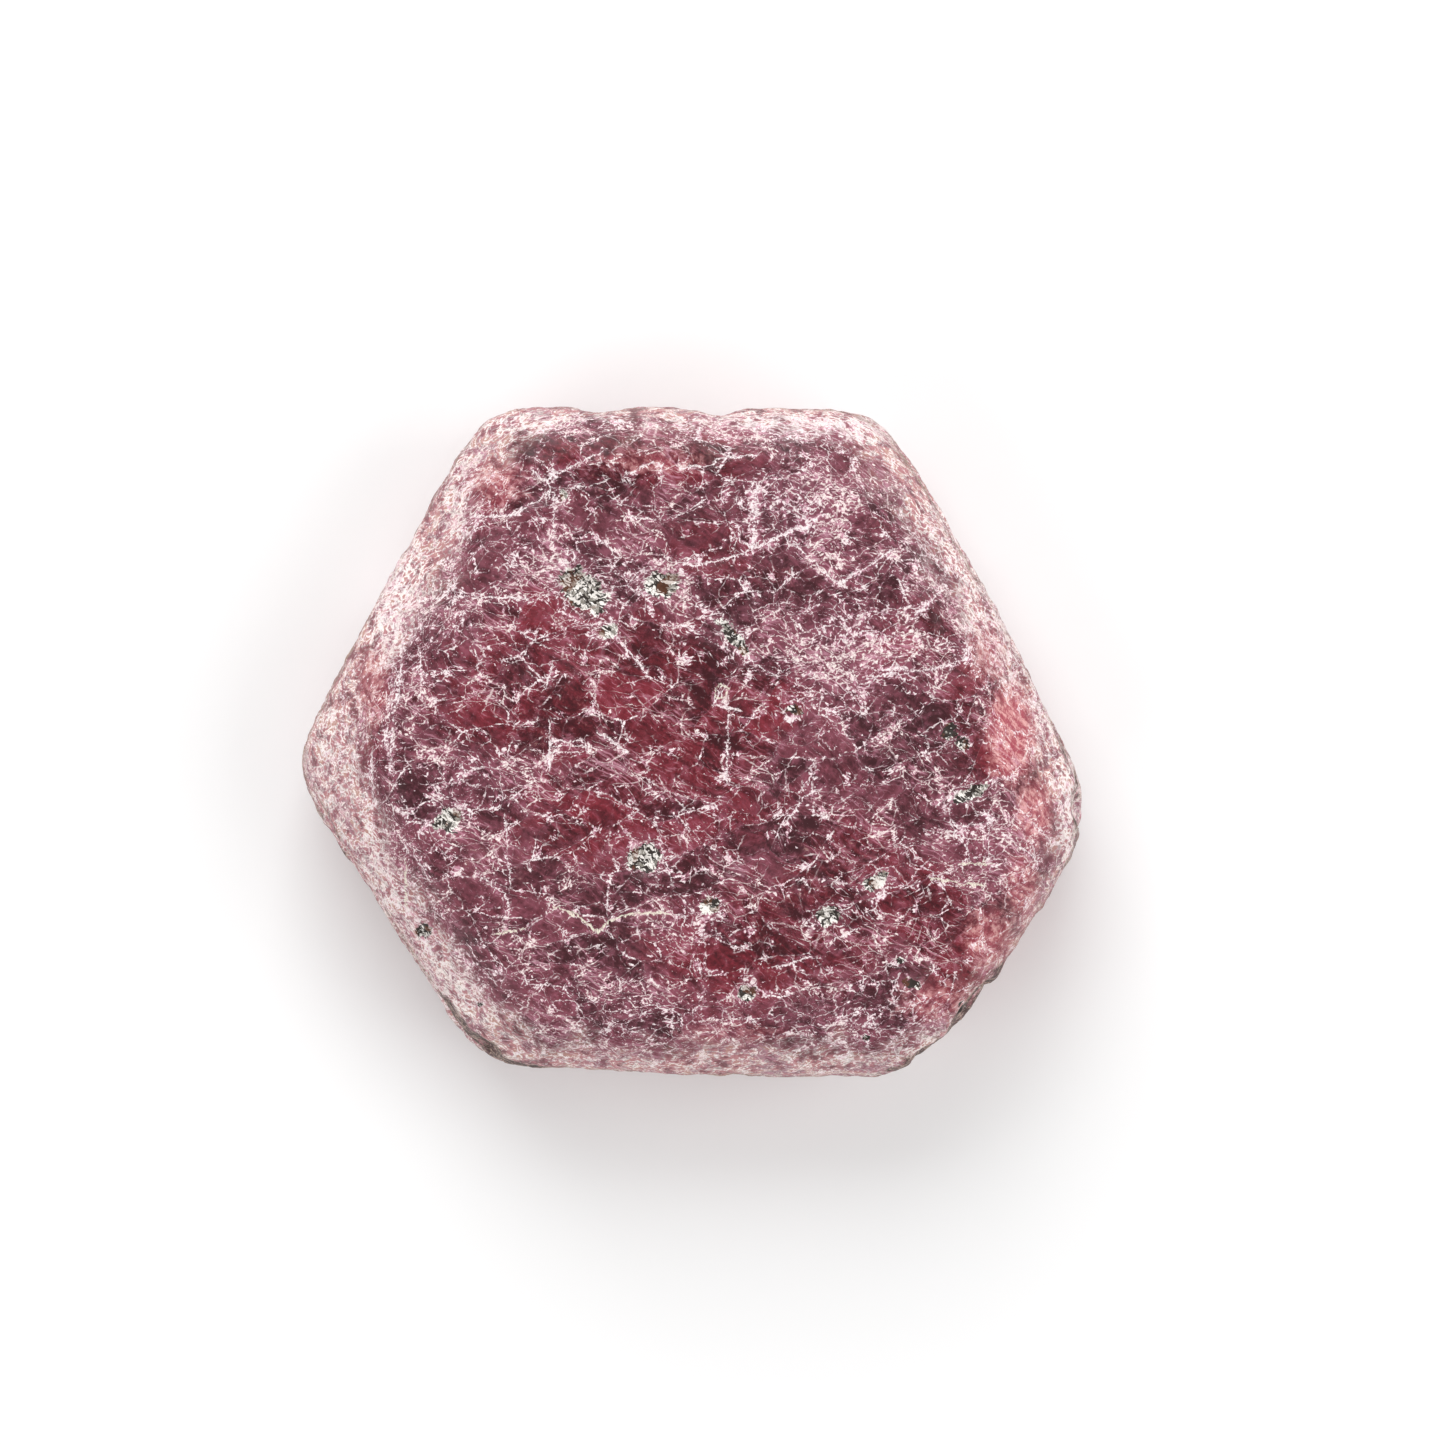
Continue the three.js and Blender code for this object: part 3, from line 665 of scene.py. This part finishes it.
def brokenness(tree, grown):
    """How far the cracks between the windows reach, their net, and how broken the stone is.

    It is most broken along the windows' edges, in clouds, under frost and at the rims.
    """
    reach = {VALUE: grown.grit, LOW: 0.38, HIGH: 0.7, AT_LOW: 0.0, AT_HIGH: 0.06}
    reach = add_node(tree, "MapRange", reach, **SMOOTH)
    gate = {VALUE: grown.breaks, LOW: 0.38, HIGH: 0.6, AT_LOW: 0.1, AT_HIGH: 1.0}
    gate = add_node(tree, "MapRange", gate, **SMOOTH)
    reach = add_node(tree, "Math", {0: reach, 1: gate}, operation="MULTIPLY")
    away, net = cell_edge(tree, grown.leaning, WINDOW, reach, 0.025)
    band = weighted(tree, (away, 1.0), (grown.smoke, -2.2))
    band = add_node(tree, "MapRange", {VALUE: band, LOW: -0.65, HIGH: -1.3}, **SMOOTH)
    clouds = {VALUE: grown.cloud, LOW: 0.35, HIGH: 0.65, AT_LOW: 0.0, AT_HIGH: 0.13}
    clouds = add_node(tree, "MapRange", clouds, **SMOOTH)
    clumps = weighted(tree, (grown.breaks, 0.8), (grown.grit, 0.2))
    clumps = add_node(tree, "MapRange", {VALUE: clumps, LOW: 0.58, HIGH: 0.68}, **SMOOTH)
    beside = add_node(tree, "MapRange", {VALUE: grown.crack, LOW: 0.4, HIGH: 0.0}, **SMOOTH)
    busy = weighted(
        tree, (band, 0.14), (clouds, 1.0), (clumps, 0.45), (grown.pit, 0.45), (grown.frost, 0.32),
        (grown.rim, 0.04), (grown.clear, -0.06), (beside, 0.18))
    return reach, net, busy


def window_colour(tree, grown, settings):
    """Windows of clear or cloudy stone, each with a depth of its own."""
    windows = {"Vector": grown.leaning, "Scale": 1 / WINDOW}
    windows = add_node(tree, "TexVoronoi", windows, "Color", feature="F1", **FLAT_CELLS)
    tone = add_node(tree, "SeparateColor", {0: windows}, "Green")
    tone = weighted(
        tree, (tone, 0.2), (grown.cloud, 0.3), (grown.smoke, 0.3), (grown.grit, 0.3), (grown.combing, 0.13))
    tone = add_node(tree, "MapRange", {VALUE: tone, LOW: 0.46, HIGH: 0.88}, **SMOOTH)
    clear = {SHARE: tone, UNDER: settings.clear_dark, OVER: settings.clear_light}
    clear = add_node(tree, "Mix", clear, MIXED, **LAYERED)
    cloudy = {SHARE: tone, UNDER: settings.cloudy_dark, OVER: settings.cloudy_light}
    cloudy = add_node(tree, "Mix", cloudy, MIXED, **LAYERED)
    clearness = weighted(tree, (grown.clear, 1.0), (grown.breaks, 1.0))
    clearness = add_node(tree, "MapRange", {VALUE: clearness, LOW: 0.45, HIGH: 1.0}, **SMOOTH)
    colour = add_node(tree, "Mix", {SHARE: clearness, UNDER: cloudy, OVER: clear}, MIXED, **LAYERED)
    veil = weighted(tree, (grown.busy, 1.0), (grown.smoke, 0.8))
    veil = add_node(tree, "MapRange", {VALUE: veil, LOW: 0.36, HIGH: 0.92, AT_HIGH: 0.66}, **SMOOTH)
    return add_node(tree, "Mix", {SHARE: veil, UNDER: colour, OVER: settings.veil}, MIXED, **LAYERED)


def worn_rims(tree, grown, settings, colour):
    """Rims of dusty rose, violet and tan in patches, under pale scratches and dark furrows."""
    violet = weighted(tree, (grown.cloud, 0.4), (grown.smoke, 0.6))
    violet = add_node(tree, "MapRange", {VALUE: violet, LOW: 0.48, HIGH: 0.6, AT_HIGH: 0.65}, **SMOOTH)
    rose = {SHARE: violet, UNDER: settings.rim, OVER: settings.rim_violet}
    rose = add_node(tree, "Mix", rose, MIXED, **LAYERED)
    tan = add_node(tree, "MapRange", {VALUE: grown.breaks, LOW: 0.5, HIGH: 0.62, AT_HIGH: 0.6}, **SMOOTH)
    rose = add_node(tree, "Mix", {SHARE: tan, UNDER: rose, OVER: settings.rim_tan}, MIXED, **LAYERED)
    # The pale scratches are partly speckled by the painted glint flecks.
    scratch = weighted(
        tree, (grown.fine_ridges, 0.42), (grown.combing, 0.1), (grown.breaks, 0.4), (grown.smoke, 0.45),
        (grown.grit, 0.5), (grown.glint_fleck_tone, 0.12), (grown.frost, 0.24))
    scratch = add_node(tree, "MapRange", {VALUE: scratch, LOW: 1.18, HIGH: 1.36}, **SMOOTH)
    rose = add_node(tree, "Mix", {SHARE: scratch, UNDER: rose, OVER: settings.rim_pale}, MIXED, **LAYERED)
    furrow = weighted(
        tree, (grown.combing, 0.3), (grown.fine_ridges, 0.2), (grown.smoke, 0.7), (grown.grit, 0.35),
        (grown.cloud, 0.5))
    furrow = add_node(tree, "MapRange", {VALUE: furrow, LOW: 1.22, HIGH: 1.42, AT_HIGH: 0.7}, **SMOOTH)
    rose = add_node(tree, "Mix", {SHARE: furrow, UNDER: rose, OVER: settings.rim_dark}, MIXED, **LAYERED)
    worn = weighted(tree, (grown.breaks, 1.0), (grown.clear, -0.14))
    worn = {VALUE: worn, LOW: 0.32, HIGH: 0.48, AT_LOW: 0.3, AT_HIGH: 1.0}
    worn = add_node(tree, "MapRange", worn, **SMOOTH)
    worn = add_node(tree, "Math", {0: worn, 1: grown.rim}, operation="MULTIPLY")
    return add_node(tree, "Mix", {SHARE: worn, UNDER: colour, OVER: rose}, MIXED, **LAYERED)


def clay_sides(tree, grown, settings, colour):
    """Dusky sides, with olive clay in their level striations."""
    clay = weighted(tree, (grown.layers, 0.7), (grown.grit, 0.3))
    clay = add_node(tree, "MapRange", {VALUE: clay, LOW: 0.44, HIGH: 0.6}, **SMOOTH)
    clay = {SHARE: clay, UNDER: settings.side_dark, OVER: settings.side}
    clay = add_node(tree, "Mix", clay, MIXED, **LAYERED)
    coat = weighted(tree, (grown.cloud, 0.3), (grown.smoke, 0.4), (grown.layers, 0.3))
    coat = {VALUE: coat, LOW: 0.4, HIGH: 0.6, AT_LOW: 0.35, AT_HIGH: 0.9}
    coat = add_node(tree, "MapRange", coat, **SMOOTH)
    coat = add_node(tree, "Math", {0: coat, 1: grown.side}, operation="MULTIPLY")
    return add_node(tree, "Mix", {SHARE: coat, UNDER: colour, OVER: clay}, MIXED, **LAYERED)


def painted_glow_edges(tree, grown, settings, colour):
    """Painted glow: light through the thin edges, painted as rose and salmon colour."""
    painted_glow_tint = weighted(tree, (grown.combing, 0.15), (grown.smoke, 0.5), (grown.grit, 0.4))
    painted_glow_tint = add_node(tree, "MapRange", {VALUE: painted_glow_tint, LOW: 0.5, HIGH: 0.72}, **SMOOTH)
    painted_glow_tint = {SHARE: painted_glow_tint, UNDER: settings.painted_glow, OVER: settings.painted_glow_pale}
    painted_glow_tint = add_node(tree, "Mix", painted_glow_tint, MIXED, **LAYERED)
    # How much painted glow lies here.
    lit_through = weighted(tree, (grown.painted_glow, 1.0), (grown.breaks, 0.5), (grown.smoke, 0.5))
    lit_through = {VALUE: lit_through, LOW: 0.62, HIGH: 1.35, AT_HIGH: 0.9}
    lit_through = add_node(tree, "MapRange", lit_through, **SMOOTH)
    return add_node(tree, "Mix", {SHARE: lit_through, UNDER: colour, OVER: painted_glow_tint}, MIXED, **LAYERED)


def lilac_threads(tree, grown, settings, colour):
    """Lilac threads that gather where the stone is broken, and strands combed through the clouds."""
    threads = weighted(tree, (grown.ridges, 1.0), (grown.busy, 1.0))
    threads = {VALUE: threads, LOW: 1.3, HIGH: 1.8, AT_HIGH: 0.65}
    strands = weighted(tree, (grown.combing, 1.0), (grown.cloud, 1.6))
    strands = {VALUE: strands, LOW: 1.95, HIGH: 2.5, AT_HIGH: 0.5}
    for cover in (threads, strands):
        cover = add_node(tree, "MapRange", cover, **SMOOTH)
        colour = add_node(tree, "Mix", {SHARE: cover, UNDER: colour, OVER: settings.thread}, MIXED, **LAYERED)
    return colour


def fine_cracks(tree, grown):
    """How brightly the fine cracks catch the light, with the painted glints of the flecks: the most of
    threads, flecks, nets and hair cracks.
    """
    white_threads = weighted(tree, (grown.fine_ridges, 1.0), (grown.busy, 1.3))
    white_threads = {VALUE: white_threads, LOW: 1.46, HIGH: 1.69, AT_HIGH: 0.9}
    lines = [add_node(tree, "MapRange", white_threads, **SMOOTH)]

    # Flecks are painted glints on the smallest cracked grains, each lit or dark.
    density = weighted(tree, (grown.ridges, 1.0), (grown.busy, 1.6))
    density = add_node(tree, "MapRange", {VALUE: density, LOW: 1.1, HIGH: 2.2, AT_HIGH: 0.6}, **SMOOTH)
    glint_flecks = weighted(tree, (grown.glint_fleck_tone, 1.0), (density, 1.0))
    lines.append(add_node(tree, "MapRange", {VALUE: glint_flecks, LOW: 1.02, HIGH: 1.08, AT_HIGH: 0.95}, **SMOOTH))

    # The net of cracks between the windows, and a finer one where the stone is broken.
    whole = {VALUE: grown.breaks, LOW: 0.45, HIGH: 0.6, AT_LOW: 0.05, AT_HIGH: 1.0}
    whole = add_node(tree, "MapRange", whole, **SMOOTH)
    lines.append(add_node(tree, "Math", {0: grown.net, 1: whole}, operation="MULTIPLY"))
    _, small_net = cell_edge(tree, grown.torn_aside, SPLINTER, weighted(tree, (grown.reach, 0.7)), 0.02)
    here = weighted(tree, (grown.breaks, 1.0), (grown.busy, 1.0))
    here = add_node(tree, "MapRange", {VALUE: here, LOW: 0.45, HIGH: 0.75, AT_HIGH: 0.8}, **SMOOTH)
    lines.append(add_node(tree, "Math", {0: small_net, 1: here}, operation="MULTIPLY"))

    # Hair cracks lie in the directions that the crystal parts along, in patches.
    for heading, length, gap, shift, in_clouds in HAIRS:
        hair = hair_cracks(tree, grown.fine, heading, length, gap, shift)
        field = grown.cloud if in_clouds else grown.breaks
        here = add_node(tree, "MapRange", {VALUE: field, LOW: 0.5, HIGH: 0.62, AT_HIGH: 0.6}, **SMOOTH)
        lines.append(add_node(tree, "Math", {0: hair, 1: here}, operation="MULTIPLY"))
    light = lines[0]
    for line in lines[1:]:
        light = add_node(tree, "Math", {0: light, 1: line}, operation="MAXIMUM")
    return add_node(tree, "Math", {0: light, 1: grown.glow}, operation="MULTIPLY")


def fine_crack_light(tree, grown, settings, colour):
    """White light in the fine cracks and painted glints in the flecks, warm with clay in the clouds and lilac
    where it is dim.
    """
    warmth = add_node(tree, "MapRange", {VALUE: grown.cloud, LOW: 0.48, HIGH: 0.62}, **SMOOTH)
    white = {SHARE: warmth, UNDER: settings.line, OVER: settings.line_warm}
    white = add_node(tree, "Mix", white, MIXED, **LAYERED)
    dim = weighted(tree, (grown.smoke, 0.5), (grown.grit, 0.5))
    dim = add_node(tree, "MapRange", {VALUE: dim, LOW: 0.52, HIGH: 0.4}, **SMOOTH)
    white = add_node(tree, "Mix", {SHARE: dim, UNDER: white, OVER: settings.thread}, MIXED, **LAYERED)
    return add_node(tree, "Mix", {SHARE: grown.lit, UNDER: colour, OVER: white}, MIXED, **LAYERED)


def charted_cracks(tree, grown, settings, colour):
    """The charted cracks, frayed and broken by the noises."""
    frayed = weighted(tree, (grown.crack_side, 1.0), (grown.smoke, 0.5), (grown.grit, 0.25), (0.375, -1.0))
    frayed = add_node(tree, "Math", {0: frayed}, operation="ABSOLUTE")
    half = weighted(tree, (grown.crack_half, 1.0), (grown.breaks, 0.16), (grown.grit, 0.12), (0.14, -1.0))
    frayed = weighted(tree, (half, 1.0), (frayed, -1.0))
    frayed = add_node(tree, "MapRange", {VALUE: frayed, LOW: -0.012, HIGH: 0.012}, **SMOOTH)
    near = add_node(tree, "MapRange", {VALUE: grown.crack, LOW: 0.3, HIGH: 0.2, AT_HIGH: 0.9})
    near = add_node(tree, "Math", {0: near, 1: frayed}, operation="MULTIPLY")
    near = add_node(tree, "Math", {0: near, 1: grown.glow}, operation="MULTIPLY")
    tint = {SHARE: grown.crack_cream, UNDER: settings.line, OVER: settings.cream}
    tint = add_node(tree, "Mix", tint, MIXED, **LAYERED)
    return add_node(tree, "Mix", {SHARE: near, UNDER: colour, OVER: tint}, MIXED, **LAYERED)


def edge_grime_and_shade(tree, grown, settings, colour):
    """Umber and olive grime and painted shade along the widest edge, scratched through to paler stone."""
    grime_and_shade_tone = weighted(
        tree, (grown.fine_ridges, 0.3), (grown.smoke, 0.4), (grown.grit, 0.4), (grown.breaks, 0.5))
    grime_and_shade_tone = add_node(tree, "MapRange", {VALUE: grime_and_shade_tone, LOW: 0.84, HIGH: 1.2}, **SMOOTH)
    grime_and_shade_tone = {SHARE: grime_and_shade_tone, UNDER: settings.grime_and_shade, OVER: settings.grime_and_shade_pale}
    grime_and_shade_tone = add_node(tree, "Mix", grime_and_shade_tone, MIXED, **LAYERED)
    # How much of the grime and painted shade covers each place.
    grime_and_shade_share = weighted(tree, (grown.grime_and_shade, 1.0), (grown.smoke, 1.0), (grown.grit, 0.9), (grown.layers, 0.7))
    grime_and_shade_share = add_node(tree, "MapRange", {VALUE: grime_and_shade_share, LOW: 1.46, HIGH: 2.05, AT_HIGH: 0.92}, **SMOOTH)
    return add_node(tree, "Mix", {SHARE: grime_and_shade_share, UNDER: colour, OVER: grime_and_shade_tone}, MIXED, **LAYERED)


def pit_mica(tree, grown, settings, colour):
    """Mica in the pits: flakes from warm grey to cream with painted highlights, dark gaps and hollows of dark
    mica and painted shade, and rust in some.
    """
    scaly = {"Vector": grown.torn, "Rotation": level_turn(-35), "Scale": (0.42, 0.17, 1)}
    scaly = add_node(tree, "Mapping", scaly, vector_type="TEXTURE")
    flake = {"Vector": scaly, "Scale": 1.0}
    gap = add_node(tree, "TexVoronoi", flake, feature="DISTANCE_TO_EDGE", **FLAT_CELLS)
    flake = add_node(tree, "TexVoronoi", flake, "Color", feature="F1", **FLAT_CELLS)
    flake = add_node(tree, "SeparateColor", {0: flake}, "Blue")
    flake = weighted(tree, (flake, 0.6), (grown.grit, 1.2))
    flake = add_node(tree, "MapRange", {VALUE: flake, LOW: 0.68, HIGH: 1.0}, **SMOOTH)
    # The palest flakes are partly painted highlights.
    mica = {SHARE: flake, UNDER: settings.mica, OVER: settings.mica_pale}
    mica = add_node(tree, "Mix", mica, MIXED, **LAYERED)
    hollow = {"Vector": grown.torn_aside, "Scale": 2.2, "Detail": 3.0, "Roughness": 0.6}
    hollow = add_node(tree, "TexNoise", hollow, **FLAT_NOISE)
    # Dark gaps and hollows: dark mica and painted shade.
    hollow = weighted(tree, (hollow, 1.0), (gap, 0.5), (grown.grit, 0.3), (grown.pit_shade, -0.27))
    hollow = add_node(tree, "MapRange", {VALUE: hollow, LOW: 0.64, HIGH: 0.58}, **SMOOTH)
    mica = add_node(tree, "Mix", {SHARE: hollow, UNDER: mica, OVER: settings.mica_dark}, MIXED, **LAYERED)
    rusty = add_node(tree, "MapRange", {VALUE: grown.breaks, LOW: 0.56, HIGH: 0.62, AT_HIGH: 0.35}, **SMOOTH)
    mica = add_node(tree, "Mix", {SHARE: rusty, UNDER: mica, OVER: settings.rust}, MIXED, **LAYERED)
    pit = weighted(tree, (grown.pit, 1.0), (grown.smoke, 0.7), (grown.grit, 0.35))
    pit = add_node(tree, "MapRange", {VALUE: pit, LOW: 1.03, HIGH: 1.09}, **SMOOTH)
    return add_node(tree, "Mix", {SHARE: pit, UNDER: colour, OVER: mica}, MIXED, **LAYERED)


def ruby_material(settings):
    """Natural ruby, corundum coloured by chromium, with its grown skin left unpolished.

    Crimson shows through clear windows between healed cracks, the cracks scatter light
    as pale lines and veils, and wear has frosted the rims nearly white.
    """
    material = bpy.data.materials.new("natural ruby, grown skin")
    material.use_nodes = True
    tree = material.node_tree
    tree.nodes.clear()
    grown = grown_patterns(tree)
    grown.reach, grown.net, grown.busy = brokenness(tree, grown)

    # The grit dims the light in every crack here and there.
    glow = {VALUE: grown.grit, LOW: 0.34, HIGH: 0.6, AT_LOW: 0.42, AT_HIGH: 1.0}
    grown.glow = add_node(tree, "MapRange", glow, **SMOOTH)
    grown.lit = fine_cracks(tree, grown)

    colour = window_colour(tree, grown, settings)
    for part in (
            worn_rims, clay_sides, painted_glow_edges, lilac_threads, fine_crack_light, charted_cracks,
            edge_grime_and_shade, pit_mica):
        colour = part(tree, grown, settings, colour)

    # Cracked, frosted skin is rougher than the clear windows.
    rough = add_node(tree, "Math", {0: grown.lit, 1: grown.rim}, operation="MAXIMUM")
    rough = add_node(tree, "MapRange", {VALUE: rough, AT_LOW: 0.34, AT_HIGH: 0.6})
    height = weighted(tree, (grown.net, 0.5), (grown.grit, 1.0))
    relief = {VALUE: grown.busy, LOW: -0.1, HIGH: 0.6, AT_LOW: 0.1, AT_HIGH: 0.7}
    relief = add_node(tree, "MapRange", relief)
    bump = add_node(tree, "Bump", {"Strength": relief, "Distance": 0.05 * MM, "Height": height})
    shader = add_node(tree, "BsdfPrincipled", {
        "Base Color": colour, "Roughness": rough, "IOR": 1.77, "Specular IOR Level": 0.18, "Normal": bump})
    add_node(tree, "OutputMaterial", {0: shader})
    return material


class RUBY_OT_crystal(bpy.types.Operator):
    """Make the ruby's skin over its solid, with its relief and material"""

    bl_idname = "ruby.crystal"
    bl_label = "Ruby crystal"

    def execute(self, context):
        settings = context.scene.ruby_crystal
        skin = skin_mesh(settings.grain)
        shape_skin(skin, settings)
        skin.data.materials.clear()
        skin.data.materials.append(ruby_material(settings))
        for polygon in skin.data.polygons:
            polygon.use_smooth = True
        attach(skin, "root")
        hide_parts("ruby_crystal")
        return {"FINISHED"}


# --- The stage ---------------------------------------------------------------------------


def soft_light(name, power, place):
    """A square soft light that faces the crystal's foot."""
    lamp = bpy.data.lights.new(name, "AREA")
    lamp.energy = power
    lamp.size = LIGHT_WIDTH
    light = bpy.data.objects.new(name, lamp)
    light.location = place
    light.rotation_euler = (-Vector(place)).to_track_quat("-Z", "Y").to_euler()
    bpy.context.scene.collection.objects.link(light)


class RUBY_OT_stage(bpy.types.Operator):
    """Make the pale floor, the soft lights and the camera"""

    bl_idname = "ruby.stage"
    bl_label = "Stage"

    def execute(self, context):
        settings = context.scene.ruby_stage
        self.make_floor(settings)
        soft_light("key_light", settings.key_power, KEY_PLACE)
        soft_light("right_fill", settings.fill_power, RIGHT_PLACE)
        soft_light("left_fill", LEFT_SHARE * settings.fill_power, LEFT_PLACE)
        world = bpy.data.worlds.new("even_light")
        world.use_nodes = True
        background = world.node_tree.nodes["Background"]
        background.inputs["Color"].default_value = (1, 1, 1, 1)
        background.inputs["Strength"].default_value = settings.sky
        context.scene.world = world
        context.scene.view_settings.view_transform = "Standard"
        self.make_camera(context.scene, settings)
        return {"FINISHED"}

    def make_floor(self, settings):
        """A flat, matt, pale floor."""
        work = bmesh.new()
        bmesh.ops.create_grid(work, x_segments=1, y_segments=1, size=settings.floor_width / 2)
        mesh = bpy.data.meshes.new("floor")
        work.to_mesh(mesh)
        work.free()
        floor = bpy.data.objects.new("floor", mesh)
        bpy.context.scene.collection.objects.link(floor)
        # Uncoated card scatters light evenly, so it looks the same from every side.
        card = bpy.data.materials.new("matt white card")
        card.use_nodes = True
        shader = card.node_tree.nodes["Principled BSDF"]
        shader.inputs["Base Color"].default_value = settings.floor_colour
        shader.inputs["Roughness"].default_value = 0.9
        mesh.materials.append(card)

    def make_camera(self, scene, settings):
        """A long lens straight above, a little right of the crystal's middle and behind it."""
        lens = bpy.data.cameras.new("camera")
        lens.lens = settings.lens
        lens.clip_start = 0.01
        camera = bpy.data.objects.new("camera", lens)
        away = settings.view_width * settings.lens / lens.sensor_width
        right, back = charted(*VIEW_MIDDLE)
        camera.location = (right * MM, back * MM, WIDEST_LEVEL * MM + away)
        scene.collection.objects.link(camera)
        scene.camera = camera


class RUBY_PT_panel(bpy.types.Panel):
    """The crystal's and the stage's settings and operators"""

    bl_idname = "RUBY_PT_panel"
    bl_label = "Ruby"
    bl_space_type = "VIEW_3D"
    bl_region_type = "UI"
    bl_category = "Ruby"

    def draw(self, context):
        scene = context.scene
        for group, operator in ((scene.ruby_crystal, "ruby.crystal"), (scene.ruby_stage, "ruby.stage")):
            for name in group.__annotations__:
                self.layout.prop(group, name)
            self.layout.operator(operator)


CLASSES = (RubyCrystalSettings, RubyStageSettings, RUBY_OT_crystal, RUBY_OT_stage, RUBY_PT_panel)


def register():
    """Registers the classes and hangs the settings on the scene."""
    for cls in CLASSES:
        bpy.utils.register_class(cls)
    bpy.types.Scene.ruby_crystal = bpy.props.PointerProperty(type=RubyCrystalSettings)
    bpy.types.Scene.ruby_stage = bpy.props.PointerProperty(type=RubyStageSettings)


def unregister():
    """Takes the settings and the classes away again."""
    del bpy.types.Scene.ruby_stage
    del bpy.types.Scene.ruby_crystal
    for cls in reversed(CLASSES):
        bpy.utils.unregister_class(cls)


def main():
    """Makes the crystal and its stage."""
    register()
    bpy.ops.ruby.crystal()
    bpy.ops.ruby.stage()


if __name__ == "__main__":
    main()
